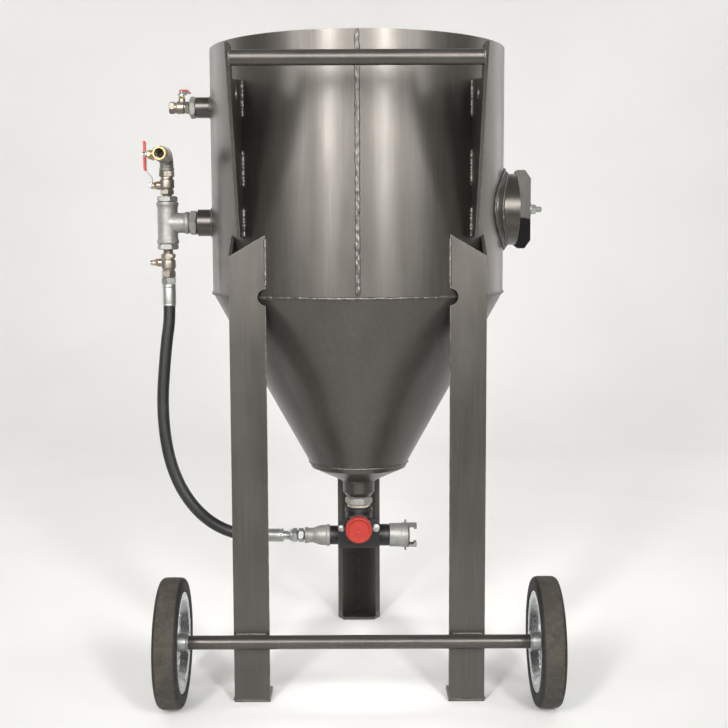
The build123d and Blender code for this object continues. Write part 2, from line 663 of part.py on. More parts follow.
def coupling():
    """The two-claw blast hose coupling on the metering valve's right arm, with its face seal."""
    thread = THREAD_1 - 1.5
    body = turned(
        [
            (COUPLING_BORE_R, -16), (thread, -16), (thread, 0), (24, 0), (25, 1), (25, 26),
            (26, 27), (26, 40), (21, 40), (21, 34), (COUPLING_BORE_R, 34),
        ],
        (ARM_END, 0, LINE_Z),
        X,
    )
    claw_x = ARM_END + 40
    claw_ring = turned(
        [(21.5, 0), (26, 0), (26, 18), (17, 18), (17, 12), (21.5, 12)], (claw_x, 0, LINE_Z), X
    )
    wedge_half = math.tan(math.radians(32)) * 40
    for side in (-1, 1):
        wedge = plate_yz(
            [(0, LINE_Z), (-wedge_half, LINE_Z + side * 40), (wedge_half, LINE_Z + side * 40)],
            claw_x - 1,
            30,
        )
        body += claw_ring & wedge
        body += rod((claw_x - 6, 0, LINE_Z + side * 24), (0, 0, side), 2.2, 9)
    nodes["claw_coupling"] = body
    nodes["coupling_seal"] = turned(
        [(16, 34), (21, 34), (21, 40), (19, 42.5), (16, 42.5)], (ARM_END, 0, LINE_Z), X
    )


def write_parts():
    """Move the origin to the middle of the rigid pieces' box, on the floor, and write the nodes."""
    rigid = []
    for name, shape in nodes.items():
        if name != "air_hose":
            rigid += shape if isinstance(shape, list) else [shape]
    box = Compound(children=rigid).bounding_box()
    shift = Pos(-(box.min.X + box.max.X) / 2, -(box.min.Y + box.max.Y) / 2, -box.min.Z)
    print("origin moved by", tuple(round(v, 3) for v in shift.position), "box", box.size)
    os.makedirs("parts", exist_ok=True)
    for name, shape in nodes.items():
        pieces = shape if isinstance(shape, list) else [shape]
        solids = [shift * solid for piece in pieces for solid in piece.solids()]
        whole = Compound(children=solids) if len(solids) > 1 else solids[0]
        export_step(whole, f"parts/{name}.step")


tank()
head()
legs()
axle()
wheel("left", -1)
wheel("right", 1)
handle()
hatch()
side_sockets()
inlet_pipework()
valves()
outlet()
air_side()
hose()
coupling()
write_parts()
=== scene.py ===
import json
import math

import bmesh
import bpy
from mathutils import Matrix, Vector, noise


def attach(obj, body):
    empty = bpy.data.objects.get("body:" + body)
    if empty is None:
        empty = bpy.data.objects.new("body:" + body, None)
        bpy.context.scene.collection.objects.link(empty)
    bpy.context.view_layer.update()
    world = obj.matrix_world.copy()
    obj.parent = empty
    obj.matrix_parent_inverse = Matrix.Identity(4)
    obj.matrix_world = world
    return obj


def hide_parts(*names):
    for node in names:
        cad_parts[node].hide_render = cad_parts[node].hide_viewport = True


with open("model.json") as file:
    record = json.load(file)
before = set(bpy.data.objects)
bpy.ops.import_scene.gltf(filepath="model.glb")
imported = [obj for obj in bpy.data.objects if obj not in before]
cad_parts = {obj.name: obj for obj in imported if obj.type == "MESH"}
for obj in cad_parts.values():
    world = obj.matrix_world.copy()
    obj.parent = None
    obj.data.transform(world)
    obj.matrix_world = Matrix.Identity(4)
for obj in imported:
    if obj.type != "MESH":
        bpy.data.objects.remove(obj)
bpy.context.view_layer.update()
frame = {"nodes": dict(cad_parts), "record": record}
nodes = frame["nodes"]

# Sizes are in millimetres from the tank's axis, as in the CAD source; SHIFT moves them to the row frame.
SHIFT = Vector((20.75, 53.975, 0.0))
MM = 0.001
X, Y, Z = (1, 0, 0), (0, 1, 0), (0, 0, 1)
BACK_X, BACK_Y, DOWN = (-1, 0, 0), (0, -1, 0), (0, 0, -1)

TANK_R = 300.0
GIRTH_Z = 792.0
RIM_Z = 1281.0
INLET_Z = 935.0
VENT_Z = 1170.0
HATCH_Z = 960.0
RISER_X = -394.0
LINE_Z = 273.0
METER_Z = 304.0
AXLE_Y = -257.7
WHEEL_R = 125.0
WHEEL_X = 361.0


def at(x, y, z):
    """A point of the row frame, in metres."""
    return (Vector((x, y, z)) + SHIFT) * MM


# ---- camera, floor and lights

scene = bpy.context.scene
scene.view_settings.view_transform = "Standard"

camera = bpy.data.objects.new("camera", bpy.data.cameras.new("camera"))
scene.collection.objects.link(camera)
camera.data.lens = 61.2
camera.data.sensor_width = 36.0
camera.data.shift_x = 0.008
camera.data.clip_end = 60.0
camera.location = at(0, -2585, 914)
pitch = Matrix.Rotation(math.radians(90 - 6.07), 4, "X")
roll = Matrix.Rotation(-0.004, 4, "Z")
camera.rotation_euler = (pitch @ roll).to_euler()
scene.camera = camera


class Look:
    """One procedural material. Patterns use object coordinates, so they keep the row frame's scale."""

    def __init__(self, name, color, metallic, roughness, coat=0.0, coat_roughness=0.15):
        self.material = bpy.data.materials.new(name)
        self.material.use_nodes = True
        self.material.diffuse_color = (*color, 1.0)
        self.tree = self.material.node_tree
        self.shader = self.tree.nodes["Principled BSDF"]
        self.shader.inputs["Base Color"].default_value = (*color, 1.0)
        self.shader.inputs["Metallic"].default_value = metallic
        self.shader.inputs["Roughness"].default_value = roughness
        self.shader.inputs["Coat Weight"].default_value = coat
        self.shader.inputs["Coat Roughness"].default_value = coat_roughness
        self.where = self.tree.nodes.new("ShaderNodeTexCoord").outputs["Object"]
        self.color = (*color, 1.0)
        self.normal = None

    def node(self, kind, **settings):
        made = self.tree.nodes.new(kind)
        for key, value in settings.items():
            setattr(made, key, value)
        return made

    def put(self, socket, value):
        if isinstance(value, bpy.types.NodeSocket):
            self.tree.links.new(value, socket)
        else:
            socket.default_value = value

    def stretched(self, stretch, source=None):
        mapping = self.node("ShaderNodeMapping")
        self.put(mapping.inputs["Vector"], source or self.where)
        mapping.inputs["Scale"].default_value = stretch
        return mapping.outputs["Vector"]

    def noise(self, scale, detail, stretch=None):
        made = self.node("ShaderNodeTexNoise")
        self.put(made.inputs["Vector"], self.stretched(stretch) if stretch else self.where)
        made.inputs["Scale"].default_value = scale
        made.inputs["Detail"].default_value = detail
        return made.outputs["Fac"]

    def cells(self, scale):
        made = self.node("ShaderNodeTexVoronoi")
        self.put(made.inputs["Vector"], self.where)
        made.inputs["Scale"].default_value = scale
        parts = self.node("ShaderNodeSeparateColor")
        self.put(parts.inputs["Color"], made.outputs["Color"])
        return parts.outputs["Red"]

    def bands(self, scale, direction, distortion, source=None):
        made = self.node("ShaderNodeTexWave", bands_direction=direction)
        self.put(made.inputs["Vector"], source or self.where)
        made.inputs["Scale"].default_value = scale
        made.inputs["Distortion"].default_value = distortion
        return made.outputs["Fac"]

    def spread(self, value, low, high, out_low=0.0, out_high=1.0):
        made = self.node("ShaderNodeMapRange")
        for name, number in zip(("Value", "From Min", "From Max", "To Min", "To Max"),
                                (value, low, high, out_low, out_high)):
            self.put(made.inputs[name], number)
        return made.outputs["Result"]

    def times(self, a, b):
        made = self.node("ShaderNodeMath", operation="MULTIPLY", use_clamp=True)
        self.put(made.inputs[0], a)
        self.put(made.inputs[1], b)
        return made.outputs["Value"]

    def bevelled(self, radius):
        """The normal of the surface as if its edges were rounded."""
        bevel = self.node("ShaderNodeBevel", samples=4)
        bevel.inputs["Radius"].default_value = radius
        return bevel.outputs["Normal"]

    def edges(self, radius):
        """A mask of edges, from how far the rounded normal turns from the true one."""
        full_at = 0.65
        dot = self.node("ShaderNodeVectorMath", operation="DOT_PRODUCT")
        self.put(dot.inputs[0], self.bevelled(radius))
        self.put(dot.inputs[1], self.node("ShaderNodeNewGeometry").outputs["Normal"])
        return self.spread(dot.outputs["Value"], 1.0, full_at)

    def rounded(self, radius):
        self.normal = self.bevelled(radius)
        return self

    def tint(self, mask, color):
        mix = self.node("ShaderNodeMix", data_type="RGBA")
        self.put(mix.inputs["Factor"], mask)
        self.put(mix.inputs[6], self.color)
        self.put(mix.inputs[7], (*color, 1.0))
        self.color = mix.outputs[2]
        return self

    def bump(self, height, distance, strength):
        made = self.node("ShaderNodeBump")
        self.put(made.inputs["Height"], height)
        made.inputs["Distance"].default_value = distance
        made.inputs["Strength"].default_value = strength
        if self.normal:
            self.put(made.inputs["Normal"], self.normal)
        self.normal = made.outputs["Normal"]
        return self

    def rough(self, value):
        self.put(self.shader.inputs["Roughness"], value)
        return self

    def specks(self, scale, detail, low, high, amount, color, stretch=None):
        """Patches of another colour, where the noise is above low."""
        return self.tint(self.spread(self.noise(scale, detail, stretch), low, high, 0.0, amount), color)

    def worn(self, radius, scale, detail, low, high, color, least=0.0):
        """Another colour along the edges, broken up by noise."""
        edge = self.edges(radius)
        return self.tint(self.times(edge, self.spread(self.noise(scale, detail), low, high, least)), color)

    def sheen(self, scale, detail, smooth, dull, high=0.7, stretch=None):
        """Roughness that wanders between two values."""
        return self.rough(self.spread(self.noise(scale, detail, stretch), 0.3, high, smooth, dull))

    def grain(self, scale, detail, distance, strength, stretch=None):
        """A bump of noise."""
        return self.bump(self.noise(scale, detail, stretch), distance, strength)

    def done(self):
        if isinstance(self.color, bpy.types.NodeSocket):
            self.put(self.shader.inputs["Base Color"], self.color)
        if self.normal:
            self.put(self.shader.inputs["Normal"], self.normal)
        return self.material


def stage_look():
    look = Look("floor", (0.86, 0.86, 0.855), 0.0, 0.75)
    look.tint(look.spread(look.noise(1.7, 3.0), 0.35, 0.7), (0.83, 0.83, 0.825))
    return look.done()


def cyclorama():
    """The pale floor, rising in a cove to plain walls on all four sides."""
    half_x, front, back, cove, corner, top = 6.5, -6.0, 3.9, 1.2, 1.6, 4.2
    middle_y, half_y = (front + back) / 2, (back - front) / 2
    profile = [(cove - cove * math.sin(a), cove - cove * math.cos(a))
               for a in (math.radians(7.5 * i) for i in range(13))]
    profile.append((0.0, top))
    verts = []
    for inset, z in profile:
        bend = corner - inset
        for i in range(40):
            turn = math.radians(90 * (i // 10) + 10 * (i % 10))
            side_x, side_y = (1, -1, -1, 1)[i // 10], (1, 1, -1, -1)[i // 10]
            verts.append((side_x * (half_x - corner) + bend * math.cos(turn),
                          middle_y + side_y * (half_y - corner) + bend * math.sin(turn), z))
    faces = [tuple(range(40))]
    for k in range(len(profile) - 1):
        for i in range(40):
            j = (i + 1) % 40
            faces.append((40 * k + i, 40 * k + j, 40 * k + 40 + j, 40 * k + 40 + i))
    mesh = bpy.data.meshes.new("cyclorama")
    mesh.from_pydata(verts, [], faces)
    mesh.materials.append(stage_look())
    mesh.shade_smooth()
    mesh.set_sharp_from_angle(angle=math.radians(30))
    ground = bpy.data.objects.new("cyclorama", mesh)
    scene.collection.objects.link(ground)


def softbox(name, place, target, width, height, power, spread=180):
    light = bpy.data.lights.new(name, "AREA")
    light.spread = math.radians(spread)
    light.shape = "RECTANGLE"
    light.size, light.size_y = width, height
    light.energy = power
    light.color = (1.0, 0.985, 0.96)
    box = bpy.data.objects.new(name, light)
    box.location = place
    box.rotation_euler = (Vector(target) - Vector(place)).to_track_quat("-Z", "Y").to_euler()
    box.visible_camera = False
    scene.collection.objects.link(box)


def around(azimuth, distance, height):
    """A place at a bearing from the tank's axis; zero is straight in front."""
    a = math.radians(azimuth)
    middle = at(0, 0, 0)
    return (middle.x + distance * math.sin(a), middle.y - distance * math.cos(a), height)


# Angles at which the lamps spread, in degrees
BEAM, WIDE_BEAM = 64, 110

cyclorama()
centre = at(0, 0, 850)
for side in (-1, 1):
    softbox(f"key_{side}", around(19.5 * side, 3.3, 2.0), centre, 0.42, 1.9, 15.5, spread=BEAM)
    softbox(f"fill_{side}", around(42 * side, 3.4, 1.9), centre, 0.9, 1.8, 5.5, spread=BEAM)
    softbox(f"edge_{side}", around(122 * side, 3.6, 1.3), centre, 3.0, 2.4, 11, spread=WIDE_BEAM)
    softbox(f"wall_{side}", (2.6 * side, 1.6, 3.6), (1.3 * side, 3.9, 1.2), 2.0, 1.2, 52)
softbox("front", around(0, 3.4, 2.0), centre, 0.7, 1.6, 3.6, spread=BEAM)
softbox("top", (0.0, 0.9, 3.9), (0.0, 0.9, 0.0), 4.5, 4.0, 7)

world = bpy.data.worlds.new("studio")
scene.world = world
world.use_nodes = True
sky = world.node_tree.nodes["Background"]
sky.inputs["Color"].default_value = (0.98, 0.99, 1.0, 1.0)
sky.inputs["Strength"].default_value = 0.09


# ---- materials

def tank_paint():
    """Grey metallic paint with a fine flake, faint upright streaks, orange peel and worn edges."""
    look = Look("tank_paint", (0.075, 0.069, 0.062), 0.72, 0.33, coat=0.2, coat_roughness=0.2)
    look.specks(2400, 1.0, 0.5, 0.68, 0.5, (0.13, 0.123, 0.116))
    look.specks(14, 4.0, 0.42, 0.7, 0.45, (0.055, 0.051, 0.046), stretch=(1, 1, 0.35))
    look.worn(0.0022, 70, 4.0, 0.42, 0.66, (0.36, 0.34, 0.32))
    look.specks(190, 4.0, 0.5, 0.72, 0.32, (0.115, 0.107, 0.098), stretch=(1, 1, 0.035))
    look.sheen(22, 5.0, 0.29, 0.40, stretch=(1, 1, 0.3))
    look.rounded(0.0009)
    look.grain(420, 2.0, 0.00012, 0.35)
    look.grain(11, 1.5, 0.004, 0.10, stretch=(1.4, 1.4, 0.12))
    return look.done()


def yoke_painted_shade():
    """Tank paint made a shade darker all over as painted shade, and near-black over the lower third as a
    painted dark reflection.
    """
    look = Look("yoke_painted_shade", (0.047, 0.044, 0.040), 0.6, 0.42)
    look.specks(60, 4.0, 0.45, 0.72, 0.5, (0.075, 0.070, 0.064), stretch=(1, 1, 0.5))
    height = look.node("ShaderNodeSeparateXYZ")
    look.put(height.inputs["Vector"], look.where)
    raggedness, line_low, line_high = 0.02, 0.949, 0.955
    ragged = look.node("ShaderNodeMath", operation="MULTIPLY_ADD")
    look.put(ragged.inputs[0], look.noise(110, 5.0, (1, 1, 0.4)))
    ragged.inputs[1].default_value = raggedness
    look.put(ragged.inputs[2], height.outputs["Z"])

    def across(below, above):
        """One value on the painted dark reflection below and another on the paint above, either side of a
        ragged line.
        """
        return look.spread(ragged.outputs["Value"], line_low, line_high, below, above)

    # Near-black below the ragged line, with no metal and little shine: a painted dark reflection on the
    # yoke's lower third.
    look.tint(across(1.0, 0.0), (0.004, 0.004, 0.0045))
    look.put(look.shader.inputs["Metallic"], across(0.0, 0.6))
    look.put(look.shader.inputs["Specular IOR Level"], across(0.12, 0.5))
    look.rough(across(0.68, 0.42))
    look.rounded(0.0009)
    look.grain(420, 2.0, 0.00015, 0.4)
    return look.done()


def weld_paint():
    """Tank paint over a weld: duller, with sooty patches and brighter ones."""
    look = Look("weld_paint", (0.085, 0.079, 0.073), 0.66, 0.4, coat=0.15, coat_roughness=0.25)
    look.specks(260, 3.0, 0.45, 0.7, 0.6, (0.17, 0.16, 0.15))
    look.specks(90, 4.0, 0.5, 0.72, 0.7, (0.04, 0.036, 0.032))
    look.grain(700, 3.0, 0.0003, 0.5)
    return look.done()


def galvanised():
    """Hot-dip zinc over malleable iron: soft spangle, grey bloom and small pits."""
    look = Look("galvanised", (0.265, 0.265, 0.254), 0.55, 0.48)
    look.tint(look.spread(look.cells(230), 0.0, 1.0, 0.0, 0.55), (0.345, 0.345, 0.332))
    look.specks(75, 5.0, 0.48, 0.74, 0.6, (0.185, 0.18, 0.165))
    look.specks(950, 2.0, 0.66, 0.74, 0.7, (0.12, 0.115, 0.10))
    look.sheen(160, 4.0, 0.42, 0.62)
    look.rounded(0.0005)
    look.grain(620, 4.0, 0.0002, 0.45)
    return look.done()


def zinc_plate():
    """Bright zinc plating with a faint yellow and blue cast and fine handling marks."""
    look = Look("zinc_plate", (0.44, 0.455, 0.45), 0.88, 0.38)
    look.specks(34, 3.0, 0.45, 0.7, 0.5, (0.43, 0.42, 0.34))
    look.specks(47, 3.0, 0.52, 0.74, 0.5, (0.33, 0.375, 0.40), stretch=(1, 1.4, 0.8))
    look.specks(420, 4.0, 0.6, 0.76, 0.5, (0.27, 0.265, 0.245))
    look.sheen(130, 5.0, 0.30, 0.48, high=0.72)
    look.rounded(0.0006)
    look.grain(900, 3.0, 0.00005, 0.2)
    return look.done()


def pressed_zinc():
    """Zinc-plated sheet as it comes from the press: brighter, with rub marks and blue stains."""
    look = Look("pressed_zinc", (0.54, 0.565, 0.57), 0.92, 0.24)
    look.specks(26, 3.0, 0.46, 0.7, 0.4, (0.40, 0.44, 0.465))
    look.specks(38, 2.0, 0.54, 0.74, 0.35, (0.36, 0.365, 0.34), stretch=(1, 0.5, 1))
    look.specks(500, 3.0, 0.66, 0.78, 0.4, (0.26, 0.255, 0.23))
    look.sheen(90, 4.0, 0.19, 0.31, high=0.72)
    look.rounded(0.0005)
    look.grain(34, 1.0, 0.0005, 0.12)
    return look.done()


def nickel_brass():
    """Nickel plating over brass, worn warm at the corners of the hexagons."""
    look = Look("nickel_brass", (0.285, 0.26, 0.226), 0.8, 0.42)
    look.specks(60, 3.0, 0.46, 0.7, 0.5, (0.225, 0.185, 0.14))
    look.worn(0.0012, 240, 3.0, 0.36, 0.6, (0.42, 0.32, 0.19))
    look.specks(520, 3.0, 0.62, 0.76, 0.5, (0.20, 0.165, 0.12))
    look.sheen(200, 4.0, 0.30, 0.46)
    look.rounded(0.0006)
    look.grain(800, 3.0, 0.00006, 0.25)
    return look.done()


def brass():
    look = Look("bare_brass", (0.46, 0.31, 0.12), 0.95, 0.36)
    look.specks(150, 4.0, 0.48, 0.72, 0.65, (0.28, 0.18, 0.07))
    look.sheen(300, 4.0, 0.3, 0.48)
    look.bump(look.bands(1300, "Z", 0.6), 0.00004, 0.35)
    return look.done()


def bore_painted_shade():
    """The inside of a fitting: brass threads painted near-black as the shade inside the bore."""
    look = Look("bore_painted_shade", (0.016, 0.012, 0.007), 0.35, 0.42)
    look.specks(240, 4.0, 0.5, 0.74, 0.6, (0.06, 0.042, 0.018))
    look.sheen(180, 3.0, 0.3, 0.55)
    look.grain(700, 3.0, 0.0001, 0.4)
    return look.done()


def black_casting():
    """Sand-cast iron in black paint: grainy skin, chipped grey on the edges."""
    look = Look("black_casting", (0.0055, 0.0055, 0.006), 0.0, 0.38)
    look.specks(120, 4.0, 0.5, 0.75, 0.6, (0.014, 0.0135, 0.013))
    look.worn(0.0013, 230, 4.0, 0.46, 0.66, (0.16, 0.155, 0.15))
    look.sheen(90, 5.0, 0.32, 0.55)
    look.rounded(0.0008)
    look.grain(520, 4.0, 0.0006, 0.5)
    return look.done()


def red_grip():
    """Dipped red vinyl: glossy, a little uneven, rubbed darker in the hand."""
    look = Look("red_grip", (0.56, 0.022, 0.020), 0.0, 0.33, coat=0.12, coat_roughness=0.2)
    look.specks(70, 4.0, 0.45, 0.72, 0.55, (0.36, 0.012, 0.014))
    look.specks(700, 3.0, 0.62, 0.76, 0.35, (0.70, 0.16, 0.13))
    look.sheen(130, 4.0, 0.27, 0.46)
    look.grain(340, 3.0, 0.0003, 0.3)
    return look.done()


def red_knob():
    """Moulded red plastic with a matt grain, and a painted highlight of paler red along its edges."""
    look = Look("red_knob", (0.29, 0.0115, 0.0045), 0.0, 0.62)
    look.specks(90, 4.0, 0.45, 0.72, 0.5, (0.23, 0.008, 0.0035))
    # Paler red along the rim's edges, never below 0.4 of full: a painted highlight, broken up by noise.
    look.worn(0.0022, 200, 3.0, 0.3, 0.6, (0.46, 0.11, 0.07), least=0.4)
    look.sheen(260, 3.0, 0.55, 0.72)
    look.rounded(0.0006)
    look.grain(1500, 2.0, 0.0001, 0.5)
    return look.done()


def hose_rubber():
    """Smooth black cover with the fine diagonal print of its wrapping cloth and a dusting of grey."""
    look = Look("hose_rubber", (0.0085, 0.0085, 0.009), 0.0, 0.43)
    along = look.tree.nodes.new("ShaderNodeTexCoord").outputs["UV"]
    weft = look.bands(1.0, "DIAGONAL", 0.0, look.stretched((260.0, 24.0, 1.0), along))
    warp = look.bands(1.0, "DIAGONAL", 0.0, look.stretched((-260.0, 24.0, 1.0), along))
    cloth = look.times(weft, warp)
    look.specks(36, 5.0, 0.5, 0.78, 0.6, (0.030, 0.028, 0.026))
    look.specks(240, 4.0, 0.6, 0.78, 0.5, (0.055, 0.050, 0.045))
    look.sheen(60, 4.0, 0.35, 0.55)
    look.bump(cloth, 0.0002, 0.35)
    look.grain(850, 3.0, 0.0001, 0.5)
    return look.done()


def seal_rubber(name, color):
    look = Look(name, color, 0.0, 0.6)
    look.specks(80, 4.0, 0.48, 0.75, 0.6, tuple(3.0 * c for c in color))
    look.sheen(110, 4.0, 0.5, 0.75)
    look.rounded(0.0006)
    look.grain(900, 3.0, 0.0002, 0.4)
    return look.done()


def tyre_rubber():
    """Solid rubber tyre, browned and dusty on the tread and darker on its walls."""
    look = Look("tyre_rubber", (0.028, 0.025, 0.020), 0.0, 0.85)
    look.specks(42, 6.0, 0.4, 0.7, 0.75, (0.050, 0.043, 0.033))
    look.specks(210, 5.0, 0.52, 0.74, 0.6, (0.072, 0.061, 0.046))
    look.specks(16, 4.0, 0.55, 0.75, 0.5, (0.028, 0.024, 0.020))
    look.sheen(90, 4.0, 0.74, 0.93)
    look.grain(480, 5.0, 0.0006, 0.6)
    return look.done()


def tyre_wall():
    look = Look("tyre_wall", (0.0075, 0.007, 0.0065), 0.0, 0.6)
    look.specks(52, 5.0, 0.52, 0.8, 0.6, (0.024, 0.021, 0.018))
    look.sheen(90, 4.0, 0.6, 0.82)
    look.grain(380, 4.0, 0.0004, 0.5)
    return look.done()


def steel(name, color, low, high):
    look = Look(name, color, 0.95, 0.35)
    look.specks(120, 5.0, 0.48, 0.74, 0.6, tuple(0.55 * c for c in color))
    look.sheen(260, 4.0, low, high, stretch=(1, 1, 3))
    look.rounded(0.0004)
    look.grain(1500, 2.0, 0.00006, 0.5, stretch=(1, 1, 0.2))
    return look.done()


def hemp():
    """Flax fibre and paste wound on a pipe thread."""
    look = Look("hemp", (0.40, 0.37, 0.29), 0.0, 0.9)
    look.specks(420, 4.0, 0.45, 0.7, 0.8, (0.20, 0.17, 0.11), stretch=(1, 1, 3))
    look.specks(70, 3.0, 0.5, 0.7, 0.6, (0.58, 0.56, 0.49))
    look.grain(900, 5.0, 0.0008, 0.8, stretch=(1, 1, 4))
    return look.done()


paint, weld = tank_paint(), weld_paint()
zinc_cast, zinc, zinc_sheet = galvanised(), zinc_plate(), pressed_zinc()
# The third of these looks is near-black: painted shade inside the valve ports.
nickel, gold, bore = nickel_brass(), brass(), bore_painted_shade()
iron, grip, knob_red = black_casting(), red_grip(), red_knob()
rubber_hose = hose_rubber()
rubber_seal = seal_rubber("seal_rubber", (0.013, 0.013, 0.014))
rubber_plug = seal_rubber("plug_rubber", (0.020, 0.019, 0.018))
tread, sidewall = tyre_rubber(), tyre_wall()
bare_steel = steel("steel", (0.50, 0.49, 0.47), 0.28, 0.48)
chrome = steel("chrome_ball", (0.46, 0.455, 0.44), 0.2, 0.36)
flax = hemp()

SLOT_LOOKS = {
    "tank_paint": paint, "galvanised": zinc_cast, "zinc_plate": zinc, "nickel_brass": nickel,
    "black_casting": iron, "red_grip": grip, "red_knob": knob_red, "hose_rubber": rubber_hose,
    "seal_rubber": rubber_seal, "plug_rubber": rubber_plug, "tyre_rubber": tread, "steel": bare_steel,
    "chrome_ball": chrome,
}
for part in frame["record"]["subparts"]:
    slots = nodes[part["node"]].data.materials
    slots.clear()
    slots.append(SLOT_LOOKS[part["material_slot"]])
# The yoke takes tank paint with painted shade, and a painted dark reflection on its lower third.
nodes["hatch_yoke"].data.materials[0] = yoke_painted_shade()


# ---- air hose

HOSE_ROUTE = [
    (-394, 0, 763), (-394, 0, 733), (-401, 0, 690), (-407.5, 0, 628), (-412.5, 0, 559), (-409, 0, 487),
    (-396, 0, 421), (-371, 0, 363), (-334, 0, 316), (-290.5, 0, 286.5), (-245, 0, 273), (-203, 0, 273),
]


def hose():
    curve = bpy.data.curves.new("air_hose_rubber", "CURVE")
    curve.dimensions = "3D"
    spline = curve.splines.new("NURBS")
    spline.points.add(len(HOSE_ROUTE) - 1)
    for point, place in zip(spline.points, HOSE_ROUTE):
        point.co = (*at(*place), 1.0)
    spline.order_u = 3
    spline.use_endpoint_u = True
    spline.resolution_u = 24
    curve.bevel_depth = 0.0125
    curve.bevel_resolution = 8
    curve.use_fill_caps = True
    curve.materials.append(rubber_hose)
    obj = bpy.data.objects.new("air_hose_rubber", curve)
    scene.collection.objects.link(obj)
    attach(obj, "root")
    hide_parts("air_hose")
    return obj


hose_piece = hose()


# ---- forms

def angles(count):
    """Equal steps of a full turn."""
    return [2 * math.pi * i / count for i in range(count)]


def square_to(axis):
    """Two directions square to an axis and to each other."""
    u = Vector(axis).orthogonal().normalized()
    return u, Vector(axis).cross(u)


def spoke(u, v, a):
    return u * math.cos(a) + v * math.sin(a)


def softened(profile, size, loop):
    """A profile with its corners cut back by up to size and rounded."""
    out = []
    count = len(profile)
    for i, point in enumerate(profile):
        here = Vector(point)
        if not loop and i in (0, count - 1):
            out.append(here)
            continue
        before = Vector(profile[i - 1]) - here
        after = Vector(profile[(i + 1) % count]) - here
        cut = min(size, 0.45 * before.length, 0.45 * after.length)
        if cut < 0.06 or before.angle(after) > 2.9:
            out.append(here)
            continue
        start, end = here + before.normalized() * cut, here + after.normalized() * cut
        out += [start, (start + 2 * here + end) / 4, end]
    return out


def thread(radius, low, high, pitch, depth=None):
    """Profile points of a thread's crests and roots."""
    depth = depth or 0.45 * pitch
    turns = max(1, int(abs(high - low) / pitch))
    step = (high - low) / turns
    points = []
    for i in range(turns):
        points += [(radius - depth, low + step * i), (radius, low + step * (i + 0.5))]
    return points + [(radius - depth, high)]


